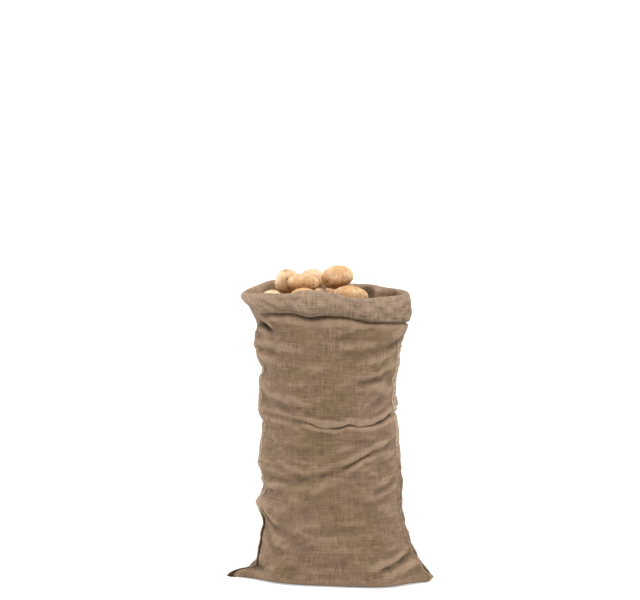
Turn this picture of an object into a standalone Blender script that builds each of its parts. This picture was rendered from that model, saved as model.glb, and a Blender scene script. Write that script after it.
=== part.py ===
"""Hessian sack full of potatoes, standing with its mouth turned down into a cuff.

The cloth is one length of hessian, folded across the bottom and sewn up both sides. It is one thin
solid: up the wall, over the rim and down the cuff. The bottom corners stick out as two ears. The
potatoes that show in the mouth are solids of their own, and one plain solid stands for those below.

Metres, +Z up. The origin is on the floor, under the middle of the sack's box. The front is -Y.
A turn is an angle round the sack, seen from above: 0 is the right (+X), 90 the back, 180 the left
and 270 the front.
"""

import math

import bpy
import numpy as np

# Driving dimensions
CLOTH = 0.0025  # thickness of the hessian
RIM_LEVEL = 0.800  # nominal height of the rim
RIM_BLEND = 0.120  # the top stretch of wall that rises and dips with the rim
ROLL = 0.0060  # radius at which the cloth turns over at the rim
BASE_ROUND = 0.026  # radius of the edge between floor and wall
LEFT_SEAM = math.radians(192)  # turns of the two side seams, a little in front of the widest points
RIGHT_SEAM = math.radians(-17)
LIP_OUT = 0.0060  # how far the two sewn edges of a side seam stand out
LIP_APART = 0.0045  # from the seam's line to the crest of each edge
LIP_TOP = 0.690  # where those edges have died away, behind the cuff
LIP_FADE = 0.050  # over this height
GIRTH_RADIUS = 0.191  # radius that turns the seam's widths into turns
FILL_CLEAR = 0.024  # between the filling and the wall
FILL_LEVELS = (0.012, 0.045, 0.120, 0.240, 0.360, 0.480, 0.600, 0.680)  # rings up its side
FILL_COLUMNS = 28
FILL_TOP = 0.738  # top of the filling at the left
FILL_CROWN = ((0.86, 0.016), (0.45, 0.003))  # rings of the top: share of the width, and drop
FILL_MIDDLE = 0.735  # height of the top's middle point
FILL_SLOPE = 0.30  # how fast the top falls towards the right
FILL_SLOPE_FROM = 0.02  # from here on

# Cross-sections of the wall: height, reach to the left, right, front and back, roundness, where
# 1 is an ellipse and less is squarer, and how far the right side comes forward for each metre
SECTIONS = (
    (0.000, 0.202, 0.209, 0.160, 0.152, 0.52, 0.17),
    (0.050, 0.203, 0.212, 0.166, 0.160, 0.58, 0.15),
    (0.100, 0.198, 0.207, 0.171, 0.168, 0.70, 0.11),
    (0.180, 0.190, 0.200, 0.174, 0.172, 0.82, 0.05),
    (0.300, 0.191, 0.196, 0.176, 0.176, 0.90, 0.00),
    (0.420, 0.191, 0.187, 0.176, 0.177, 0.92, 0.00),
    (0.520, 0.197, 0.182, 0.176, 0.175, 0.92, 0.00),
    (0.600, 0.196, 0.187, 0.173, 0.171, 0.91, 0.00),
    (0.640, 0.205, 0.190, 0.168, 0.167, 0.90, 0.00),
    (0.664, 0.209, 0.196, 0.164, 0.163, 0.90, 0.00),
    (0.682, 0.206, 0.200, 0.160, 0.160, 0.89, 0.00),
    (0.698, 0.200, 0.206, 0.157, 0.157, 0.88, 0.00),
    (0.716, 0.198, 0.209, 0.153, 0.154, 0.88, 0.00),
    (0.735, 0.202, 0.210, 0.149, 0.150, 0.87, 0.00),
    (0.752, 0.207, 0.205, 0.146, 0.147, 0.87, 0.00),
    (0.766, 0.213, 0.200, 0.143, 0.145, 0.87, 0.00),
    (0.776, 0.223, 0.199, 0.141, 0.143, 0.87, 0.00),
    (0.788, 0.231, 0.199, 0.139, 0.141, 0.88, 0.00),
    (0.800, 0.233, 0.199, 0.137, 0.140, 0.88, 0.00),
)

# Round the mouth: turn in degrees, height of the rim, height of the cuff's lower edge and how
# much further than the rolled rim that edge stands off the wall
MOUTH = (
    (0, 0.800, 0.719, 0.010),
    (30, 0.797, 0.722, 0.008),
    (60, 0.803, 0.735, 0.006),
    (90, 0.806, 0.742, 0.007),
    (120, 0.820, 0.746, 0.008),
    (132, 0.817, 0.742, 0.008),
    (144, 0.808, 0.736, 0.006),
    (156, 0.802, 0.725, 0.004),
    (168, 0.798, 0.708, 0.001),
    (180, 0.797, 0.692, 0.000),
    (191, 0.799, 0.694, 0.000),
    (196, 0.802, 0.708, 0.001),
    (200, 0.804, 0.727, 0.002),
    (205, 0.806, 0.743, 0.003),
    (216, 0.807, 0.753, 0.005),
    (228, 0.810, 0.756, 0.007),
    (244, 0.812, 0.752, 0.008),
    (257, 0.822, 0.747, 0.008),
    (268, 0.818, 0.747, 0.007),
    (280, 0.804, 0.748, 0.006),
    (287, 0.801, 0.743, 0.006),
    (296, 0.799, 0.734, 0.006),
    (306, 0.800, 0.729, 0.007),
    (318, 0.800, 0.728, 0.009),
    (332, 0.799, 0.727, 0.011),
    (346, 0.799, 0.723, 0.012),
)

# Ears at the bottom corners: turn of the seam, reach beyond the wall, how far the tip lies back,
# height, spread in radians, the two powers that shape the ear's upper edge, and how high its
# blunt tip is
EARS = (
    (LEFT_SEAM, 0.098, 0.010, 0.032, 0.19, 1.3, 0.45, 0.000),
    (RIGHT_SEAM, 0.078, 0.020, 0.200, 0.24, 0.8, 1.9, 0.020),
)
EAR_POINT = 0.01  # radians over which an ear's tip is rounded, seen from above
EAR_SWING = 1.6  # how much wider than the ear the stretch is that swings back with its tip

# Main folds, which run round the wall: turn of the middle and half-span in degrees, height,
# rise per radian, rise per radian squared, half-width, depth, and droop of the lip above
FOLDS = (
    (278, 84, 0.455, 0.000, 0.014, 0.016, 0.0130, 0.0080),
    (262, 74, 0.322, 0.050, 0.012, 0.022, 0.0070, 0.0015),
    (308, 26, 0.571, 0.020, 0.000, 0.017, 0.0060, 0.0000),
    (226, 34, 0.640, -0.012, 0.000, 0.022, 0.0050, 0.0000),
    (208, 20, 0.698, 0.040, 0.000, 0.013, 0.0110, 0.0000),
    (318, 26, 0.056, 0.072, 0.000, 0.019, 0.0080, 0.0010),
    (222, 28, 0.165, -0.050, 0.000, 0.018, 0.0060, 0.0000),
    (96, 80, 0.505, 0.014, -0.006, 0.020, 0.0100, 0.0050),
    (70, 60, 0.350, -0.040, 0.010, 0.021, 0.0080, 0.0020),
    (128, 48, 0.215, 0.045, 0.000, 0.022, 0.0080, 0.0020),
    (110, 40, 0.630, -0.030, 0.000, 0.020, 0.0060, 0.0000),
)

# Where the side seams draw in (less than 0) or bulge: side, height, half-height, reach
PUCKERS = (
    ("left", 0.150, 0.020, -0.007),
    ("left", 0.216, 0.022, 0.016),
    ("left", 0.255, 0.019, -0.008),
    ("left", 0.337, 0.024, 0.008),
    ("left", 0.430, 0.018, -0.005),
    ("left", 0.591, 0.020, -0.007),
    ("right", 0.468, 0.014, -0.010),
    ("right", 0.515, 0.019, -0.006),
    ("right", 0.565, 0.018, -0.007),
    ("right", 0.625, 0.030, 0.004),
)
PUCKER_SPREAD = 0.42  # radians each way from the seam

# Potatoes: x, y, z, length, width, thickness, turn and tilt of the long axis in degrees
POTATOES = (
    (-0.119, 0.030, 0.823, 0.076, 0.070, 0.072, 70, 10),
    (-0.048, 0.072, 0.824, 0.070, 0.062, 0.060, 20, 0),
    (-0.073, -0.036, 0.827, 0.088, 0.056, 0.054, 4, -3),
    (0.020, 0.006, 0.838, 0.092, 0.068, 0.067, -6, 12),
    (0.056, -0.053, 0.792, 0.100, 0.066, 0.060, -4, -4),
    (-0.158, -0.048, 0.783, 0.060, 0.056, 0.052, 30, 0),
    (-0.074, -0.092, 0.796, 0.076, 0.052, 0.050, 6, 5),
    (0.003, -0.088, 0.762, 0.068, 0.050, 0.050, 0, 0),
    (-0.030, 0.018, 0.778, 0.070, 0.062, 0.056, 25, 0),
    (-0.164, 0.050, 0.764, 0.068, 0.054, 0.054, 80, 0),
    (-0.104, 0.086, 0.772, 0.070, 0.048, 0.050, -15, 0),
    (0.060, 0.050, 0.776, 0.080, 0.062, 0.056, 30, 0),
    (0.010, 0.100, 0.776, 0.070, 0.050, 0.050, -10, 0),
    (0.130, -0.006, 0.738, 0.072, 0.060, 0.056, 60, 0),
    (-0.094, -0.022, 0.772, 0.070, 0.052, 0.048, 40, 0),
    (0.128, 0.066, 0.746, 0.070, 0.056, 0.052, -40, 0),
)

# Mesh: how finely each stretch is divided
SEAM_COLUMNS = (-0.0200, -0.0095, -LIP_APART, 0.0, LIP_APART, 0.0095, 0.0200)
PANEL_COLUMNS = 19  # between the columns of the two seams, on each panel
FLOOR_RINGS = 2  # between the fold line and the edge of the base
FOLD_SHORT = 0.04  # share of its length by which the fold line stops short of the ears' tips
LEVELS = (
    0.000, 0.004, 0.012, 0.026, 0.042, 0.064, 0.094, 0.126, 0.158, 0.186, 0.206, 0.224,
    0.246, 0.272, 0.296, 0.318, 0.340, 0.366, 0.396, 0.420, 0.438, 0.450, 0.461, 0.476,
    0.498, 0.530, 0.566, 0.602, 0.636, 0.660, 0.684, 0.702, 0.720, 0.740, 0.758, 0.774,
    0.788,
)  # fmt: skip
ROLL_STEPS = 3
CUFF_STEPS = 4
POTATO_COLUMNS = 12
POTATO_STEPS = 8
POTATO_FULLER = 0.07  # how much thicker a potato is towards one end
POTATO_ROUND = 0.9  # less is a blunter end


def smooth_curve(rows, column, where):
    """Reads a smooth curve through the rows' first column and the given one."""
    knots = np.array([row[0] for row in rows], float)
    values = np.array([row[column] for row in rows], float)
    slopes = np.gradient(values, knots)
    where = np.clip(where, knots[0], knots[-1])
    index = np.clip(np.searchsorted(knots, where) - 1, 0, len(knots) - 2)
    span = knots[index + 1] - knots[index]
    s = (where - knots[index]) / span
    return (
        values[index] * (1 + 2 * s) * (1 - s) ** 2
        + slopes[index] * span * s * (1 - s) ** 2
        + values[index + 1] * (3 - 2 * s) * s**2
        + slopes[index + 1] * span * (s - 1) * s**2
    )


def round_mouth(turn, column):
    """Reads a column of MOUTH at a turn, joined into a closed curve."""
    before = [(row[0] - 360, *row[1:]) for row in MOUTH]
    after = [(row[0] + 360, *row[1:]) for row in MOUTH]
    return smooth_curve(before + list(MOUTH) + after, column, np.degrees(turn) % 360)


def between(turn, middle):
    """Signed angle from middle to turn, the short way round."""
    return (turn - middle + math.pi) % (2 * math.pi) - math.pi


def bell(distance, width):
    return np.exp(-((distance / width) ** 2))


def fold_push(turn, height):
    """How far the folds push the wall outwards and downwards."""
    out = np.zeros_like(height)
    down = np.zeros_like(height)
    for middle, half_span, level, rise, bow, half_width, depth, droop in FOLDS:
        off = between(turn, math.radians(middle))
        fade = np.cos(np.clip(off / math.radians(half_span), -1, 1) * math.pi / 2) ** 0.8
        across = (height - level - rise * off - bow * off**2) / half_width
        groove = -bell(across + 0.15, 0.6)
        shoulders = 0.5 * bell(across - 1.3, 0.9) + 0.3 * bell(across + 1.7, 0.9)
        out += fade * depth * (groove + shoulders)
        down += fade * droop * bell(across - 0.5, 0.7)
    return out, down


def rim_rise(turn, level):
    """How far the rim's ups and downs move the wall at a level."""
    top = np.clip((level - RIM_LEVEL + RIM_BLEND) / RIM_BLEND, 0, 1)
    return (round_mouth(turn, 1) - RIM_LEVEL) * top**2 * (3 - 2 * top)


def cuff_edge_level(turn):
    """The level whose height is that of the cuff's lower edge."""
    edge = round_mouth(turn, 2)
    level = edge
    for _ in range(8):
        level = (level + edge - rim_rise(turn, level)) / 2
    return level


def pucker_push(turn, height):
    """How far the side seams draw in or bulge."""
    out = np.zeros_like(height)
    for side, level, half_height, reach in PUCKERS:
        seam = LEFT_SEAM if side == "left" else RIGHT_SEAM
        out += reach * bell(between(turn, seam), PUCKER_SPREAD) * bell(height - level, half_height)
    return out


def wall(turn, level, offset, outer=False, folded=True):
    """Points of the wall at arrays of turns and levels, moved outwards by offset.

    The outer side has the ears and the standing edges of the side seams, up to the cuff. Without
    its folds the wall is the plain shape that the filling takes.
    """
    left, right, front, back, roundness, forward = (
        smooth_curve(SECTIONS, i, level) for i in range(1, 7)
    )
    across, along = np.cos(turn), np.sin(turn)
    inset = BASE_ROUND * (1 - np.sqrt(1 - np.clip(1 - level / BASE_ROUND, 0, 1) ** 2))
    down = np.zeros_like(level)
    if folded:
        push, down = fold_push(turn, level)
        offset = offset + push + pucker_push(turn, level)
    x = (np.where(across > 0, right, left) - inset + offset) * np.sign(across)
    y = (np.where(along > 0, back, front) - inset + offset) * np.sign(along)
    x = x * np.abs(across) ** roundness
    y = y * np.abs(along) ** roundness - forward * x
    for seam, reach, tip_back, ear_height, spread, bend, blunt, tip in EARS:
        off = between(turn, seam)
        share = np.clip(1 - (np.maximum(level - tip, 0) / ear_height) ** bend, 0, 1) ** blunt
        y = y + tip_back * share * bell(off, EAR_SWING * spread)
        if outer:
            lips = np.isclose(np.abs(off) * GIRTH_RADIUS, LIP_APART)
            lips = LIP_OUT * lips * np.clip((LIP_TOP - level) / LIP_FADE, 0, 1)
            ear = reach * share * np.exp((EAR_POINT - np.hypot(off, EAR_POINT)) / spread)
            x = x + np.sign(math.cos(seam)) * ear + lips * math.cos(seam)
            y = y + lips * math.sin(seam)
    return np.stack([x, y, np.maximum(level + rim_rise(turn, level) - down, 0)], axis=-1)


def column_turns():
    """Turns of the mesh's columns, from the left seam round the front, and close at the seams."""
    close = np.array(SEAM_COLUMNS) / GIRTH_RADIUS
    turns = []
    for seam, next_seam in ((LEFT_SEAM, 2 * math.pi + RIGHT_SEAM), (RIGHT_SEAM, LEFT_SEAM)):
        start, stop = seam + close[-1], next_seam + close[0]
        turns += list(seam + close)
        turns += list(np.linspace(start, stop, PANEL_COLUMNS + 2)[1:-1])
    return np.roll(turns, -SEAM_COLUMNS.index(0.0))


def cloth_rings(turns, side):
    """Rings of one side of the cloth: side is 1 for the outer face of the wall, -1 for the inner.

    The face that is outside on the wall is underneath on the cuff.
    """
    half = CLOTH / 2
    inset = half * (side - 1)
    floor = -inset
    rings = []
    for level in LEVELS:
        ring = wall(turns, np.full_like(turns, level), inset, side > 0)
        ring[:, 2] = np.maximum(ring[:, 2], floor)
        rings.append(ring)
    edge = rings[0]
    fold_line = (edge + edge[-np.arange(len(edge))]) / 2
    for i in range(FLOOR_RINGS):
        share = 1 - (i + 1) / (FLOOR_RINGS + 1)
        ring = fold_line + (edge - fold_line) * share
        rings.insert(0, ring * np.array([1 - FOLD_SHORT * (1 - share), 1, 1]))
    radius = ROLL - half * side
    top = LEVELS[-1]
    for i in range(1, ROLL_STEPS + 1):
        angle = math.pi * i / ROLL_STEPS
        ring = wall(turns, np.full_like(turns, top), ROLL - half - radius * math.cos(angle))
        ring[:, 2] += radius * math.sin(angle)
        rings.append(ring)
    drop = top - cuff_edge_level(turns)
    for i in range(CUFF_STEPS):
        share = (i + 1) / CUFF_STEPS
        shift = ROLL - half + radius + round_mouth(turns, 3) * share**0.7
        rings.append(wall(turns, top - drop * share, shift))
    return rings


def mesh_object(name, points, faces, material):
    mesh = bpy.data.meshes.new(name)
    mesh.from_pydata([tuple(map(float, p)) for p in points], [], faces)
    mesh.validate()
    mesh.shade_smooth()
    mesh.set_sharp_from_angle(angle=math.radians(50))
    mesh.materials.append(material)
    made = bpy.data.objects.new(name, mesh)
    bpy.context.scene.collection.objects.link(made)
    return made


def ladder(first, second, flip):
    """Triangles between two closed rings of point numbers."""
    faces = []
    count = len(first)
    for i in range(count):
        j = (i + 1) % count
        quad = (first[i], first[j], second[j], second[i])
        if flip:
            quad = quad[::-1]
            faces += [(quad[0], quad[1], quad[3]), (quad[1], quad[2], quad[3])]
        else:
            faces += [(quad[0], quad[1], quad[2]), (quad[0], quad[2], quad[3])]
    return faces


def zip_line(ring, flip):
    """Triangles across the floor, from the front half of a ring to its back half."""
    half = len(ring) // 2
    faces = []
    for i in range(half):
        a, b = ring[i], ring[i + 1]
        c, d = ring[-i % len(ring)], ring[-(i + 1) % len(ring)]
        for corners in ((a, b, d), (a, d, c)):
            if len(set(corners)) == 3:
                faces.append(corners[::-1] if flip else corners)
    return faces


def make_sack(material, centre):
    """The cloth: its outer and inner faces, joined along the cuff's lower edge."""
    turns = column_turns()
    points, faces, edges = [], [], []
    for side in (1, -1):
        numbers = []
        for ring in cloth_rings(turns, side):
            start = len(points)
            points += list(ring - centre)
            numbers.append(list(range(start, start + len(turns))))
        for low, high in zip(numbers, numbers[1:], strict=False):
            faces += ladder(low, high, side < 0)
        faces += zip_line(numbers[0], side > 0)
        edges.append(numbers[-1])
    faces += ladder(edges[0], edges[1], False)
    return mesh_object("sack", points, faces, material)


def make_filling(material, centre):
    """The hidden potatoes as one plain solid, whose top slopes down towards the right."""
    turns = np.linspace(0, 2 * math.pi, FILL_COLUMNS, endpoint=False)
    points, rings = [], []
    for level in FILL_LEVELS:
        rings.append(wall(turns, np.full_like(turns, level), -FILL_CLEAR, folded=False))
    shoulder = rings[-1]
    for share, drop in FILL_CROWN:
        ring = shoulder * np.array([share, share, 1])
        ring[:, 2] = FILL_TOP - drop - FILL_SLOPE * np.maximum(ring[:, 0] - FILL_SLOPE_FROM, 0)
        rings.append(ring)
    numbers = []
    for ring in rings:
        start = len(points)
        points += list(ring - centre)
        numbers.append(list(range(start, start + len(turns))))
    faces = [tuple(reversed(numbers[0]))]
    for low, high in zip(numbers, numbers[1:], strict=False):
        faces += ladder(low, high, False)
    points.append(np.array([0.0, 0.0, FILL_MIDDLE]) - centre)
    top = numbers[-1]
    faces += [(top[i], top[(i + 1) % len(top)], len(points) - 1) for i in range(len(top))]
    return mesh_object("filling", points, faces, material)


def make_potato(number, row, material, centre):
    """An egg-shaped tuber, a little thicker towards one end."""
    x, y, z, length, width, thickness, turn, tilt = row
    around, along = POTATO_COLUMNS, POTATO_STEPS
    points, faces = [(-length / 2, 0, 0)], []
    for i in range(1, along):
        angle = math.pi * i / along
        fuller = 1 + POTATO_FULLER * math.cos(angle)
        for k in range(around):
            spin = 2 * math.pi * k / around
            ring = math.sin(angle) ** POTATO_ROUND * fuller / 2
            points.append(
                (
                    -math.cos(angle) * length / 2,
                    ring * width * math.cos(spin),
                    ring * thickness * math.sin(spin),
                )
            )
    points.append((length / 2, 0, 0))
    last = len(points) - 1
    for k in range(around):
        j = (k + 1) % around
        faces.append((0, 1 + k, 1 + j))
        faces.append((last, last - around + j, last - around + k))
        for i in range(along - 2):
            a, b = 1 + i * around, 1 + (i + 1) * around
            faces.append((a + k, b + k, b + j, a + j))
    faces = [face[::-1] for face in faces]
    made = mesh_object(f"potato_{number:02d}", points, faces, material)
    made.location = np.array([x, y, z]) - centre
    made.rotation_euler = (0, -math.radians(tilt), math.radians(turn))
    return made


def make_material(name, colour, roughness):
    material = bpy.data.materials.new(name)
    material.use_nodes = True
    shader = material.node_tree.nodes["Principled BSDF"]
    shader.inputs["Base Color"].default_value = (*colour, 1)
    shader.inputs["Roughness"].default_value = roughness
    shader.inputs["Metallic"].default_value = 0
    return material


def main():
    for old in list(bpy.data.objects):
        bpy.data.objects.remove(old)
    outline = np.concatenate(cloth_rings(column_turns(), 1) + cloth_rings(column_turns(), -1))
    low, high = outline.min(axis=0), outline.max(axis=0)
    centre = np.array([(low[0] + high[0]) / 2, (low[1] + high[1]) / 2, 0])
    hessian = make_material("hessian", (0.30, 0.20, 0.13), 0.92)
    skin = make_material("potato_skin", (0.62, 0.40, 0.20), 0.60)
    make_sack(hessian, centre)
    make_filling(skin, centre)
    for number, row in enumerate(POTATOES, start=1):
        make_potato(number, row, skin, centre)


main()
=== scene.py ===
"""Looks of a hessian sack full of potatoes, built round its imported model.

Lengths are in metres, +Z is up and the front is -Y. A turn is an angle round the sack, seen from
above, in degrees in the tables: 0 is the right (+X), 90 the back, 180 the left and 270 the front.
A level is a height on the wall before its folds and its rim have moved it.
"""

import math
from functools import lru_cache

import bpy
import numpy as np
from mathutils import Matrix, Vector, noise


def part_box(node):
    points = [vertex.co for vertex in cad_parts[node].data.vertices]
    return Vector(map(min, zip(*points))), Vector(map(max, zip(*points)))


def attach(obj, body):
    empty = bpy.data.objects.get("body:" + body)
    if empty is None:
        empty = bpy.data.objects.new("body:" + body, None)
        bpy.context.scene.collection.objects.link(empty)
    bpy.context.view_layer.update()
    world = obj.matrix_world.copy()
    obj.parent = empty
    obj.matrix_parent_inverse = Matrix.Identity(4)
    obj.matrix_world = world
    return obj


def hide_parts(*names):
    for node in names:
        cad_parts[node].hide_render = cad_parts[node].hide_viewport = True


bl_info = {
    "name": "Hessian Potato Sack",
    "version": (1, 0, 0),
    "blender": (4, 5, 0),
    "location": "View3D > Sidebar > Sack",
    "description": "Makes a standing hessian sack full of potatoes, with its cuff, seams and stage",
    "category": "Object",
}

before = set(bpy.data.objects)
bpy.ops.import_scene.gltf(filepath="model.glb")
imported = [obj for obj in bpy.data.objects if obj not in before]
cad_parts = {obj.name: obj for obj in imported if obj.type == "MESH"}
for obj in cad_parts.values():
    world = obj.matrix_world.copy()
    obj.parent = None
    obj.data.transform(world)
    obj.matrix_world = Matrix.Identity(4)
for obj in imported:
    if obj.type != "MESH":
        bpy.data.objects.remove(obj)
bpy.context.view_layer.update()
SACK_NODE = "sack"
FILLING_NODE = "filling"
POTATO_NODES = sorted(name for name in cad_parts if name.startswith("potato_"))

# The cut of the cloth, before it was folded across the bottom and sewn up the sides
CUT_WIDTH = 0.60

# The wall, the rim and the cuff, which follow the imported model
RIM_LEVEL = 0.800  # nominal height of the rim
RIM_BLEND = 0.120  # the top stretch of wall that rises and dips with the rim
ROLL = 0.0095  # radius at which the cloth turns over at the rim
BASE_ROUND = 0.026  # radius of the edge between floor and wall
TOP_LEVEL = 0.788  # where the wall ends and the roll over the rim begins
LEFT_SEAM = math.radians(192)
RIGHT_SEAM = math.radians(-17)
GIRTH_RADIUS = 0.191  # radius that turns lengths round the wall into turns

# Cross-sections of the wall: height, reach to the left, right, front and back, roundness, where
# 1 is an ellipse and less is squarer, and how far the right side comes forward for each metre
SECTIONS = (
    (0.000, 0.202, 0.209, 0.160, 0.152, 0.52, 0.17),
    (0.050, 0.203, 0.212, 0.166, 0.160, 0.58, 0.15),
    (0.100, 0.198, 0.207, 0.171, 0.168, 0.70, 0.11),
    (0.180, 0.190, 0.200, 0.174, 0.172, 0.82, 0.05),
    (0.300, 0.191, 0.196, 0.176, 0.176, 0.90, 0.00),
    (0.420, 0.191, 0.187, 0.176, 0.177, 0.92, 0.00),
    (0.520, 0.197, 0.182, 0.176, 0.175, 0.92, 0.00),
    (0.600, 0.196, 0.187, 0.173, 0.171, 0.91, 0.00),
    (0.640, 0.205, 0.190, 0.168, 0.167, 0.90, 0.00),
    (0.664, 0.209, 0.196, 0.164, 0.163, 0.90, 0.00),
    (0.682, 0.206, 0.200, 0.160, 0.160, 0.89, 0.00),
    (0.698, 0.200, 0.206, 0.157, 0.157, 0.88, 0.00),
    (0.716, 0.198, 0.209, 0.153, 0.154, 0.88, 0.00),
    (0.735, 0.202, 0.210, 0.149, 0.150, 0.87, 0.00),
    (0.752, 0.207, 0.205, 0.146, 0.147, 0.87, 0.00),
    (0.766, 0.213, 0.200, 0.143, 0.145, 0.87, 0.00),
    (0.776, 0.223, 0.199, 0.141, 0.143, 0.87, 0.00),
    (0.788, 0.231, 0.199, 0.139, 0.141, 0.88, 0.00),
    (0.800, 0.233, 0.199, 0.137, 0.140, 0.88, 0.00),
)

# Round the mouth: turn, height of the rim, height of the cuff's lower edge, how much further than
# the rolled rim the cuff swells off the wall, and how far that edge stands off the wall
MOUTH = (
    (0, 0.800, 0.719, 0.006, 0.006),
    (30, 0.797, 0.722, 0.006, 0.008),
    (60, 0.803, 0.735, 0.008, 0.008),
    (90, 0.806, 0.742, 0.008, 0.008),
    (120, 0.820, 0.746, 0.009, 0.008),
    (132, 0.817, 0.742, 0.009, 0.008),
    (144, 0.808, 0.736, 0.007, 0.007),
    (156, 0.802, 0.725, 0.005, 0.006),
    (168, 0.798, 0.708, 0.002, 0.004),
    (180, 0.797, 0.692, 0.000, 0.003),
    (191, 0.799, 0.694, 0.000, 0.004),
    (196, 0.802, 0.708, 0.001, 0.006),
    (200, 0.804, 0.727, 0.003, 0.008),
    (205, 0.806, 0.743, 0.005, 0.010),
    (216, 0.807, 0.753, 0.007, 0.010),
    (228, 0.810, 0.757, 0.008, 0.011),
    (244, 0.812, 0.759, 0.009, 0.011),
    (257, 0.822, 0.751, 0.009, 0.011),
    (268, 0.818, 0.755, 0.009, 0.011),
    (280, 0.804, 0.749, 0.008, 0.011),
    (287, 0.801, 0.743, 0.008, 0.010),
    (296, 0.799, 0.737, 0.008, 0.010),
    (306, 0.800, 0.734, 0.009, 0.009),
    (318, 0.800, 0.731, 0.009, 0.009),
    (332, 0.799, 0.728, 0.007, 0.008),
    (346, 0.799, 0.723, 0.006, 0.007),
)

# Ears at the bottom corners: turn of the seam in radians, reach beyond the wall, how far the tip
# lies back, height, spread in radians, the two powers that shape the ear's upper edge, and how
# high its blunt tip is
EARS = (
    (LEFT_SEAM, 0.098, 0.010, 0.032, 0.19, 1.3, 0.45, 0.000),
    (RIGHT_SEAM, 0.078, 0.020, 0.200, 0.24, 0.8, 1.9, 0.020),
)
EAR_POINT = 0.01  # radians over which an ear's tip is rounded, seen from above
EAR_SWING = 1.6  # how much wider than the ear the stretch is that swings back with its tip

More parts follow.
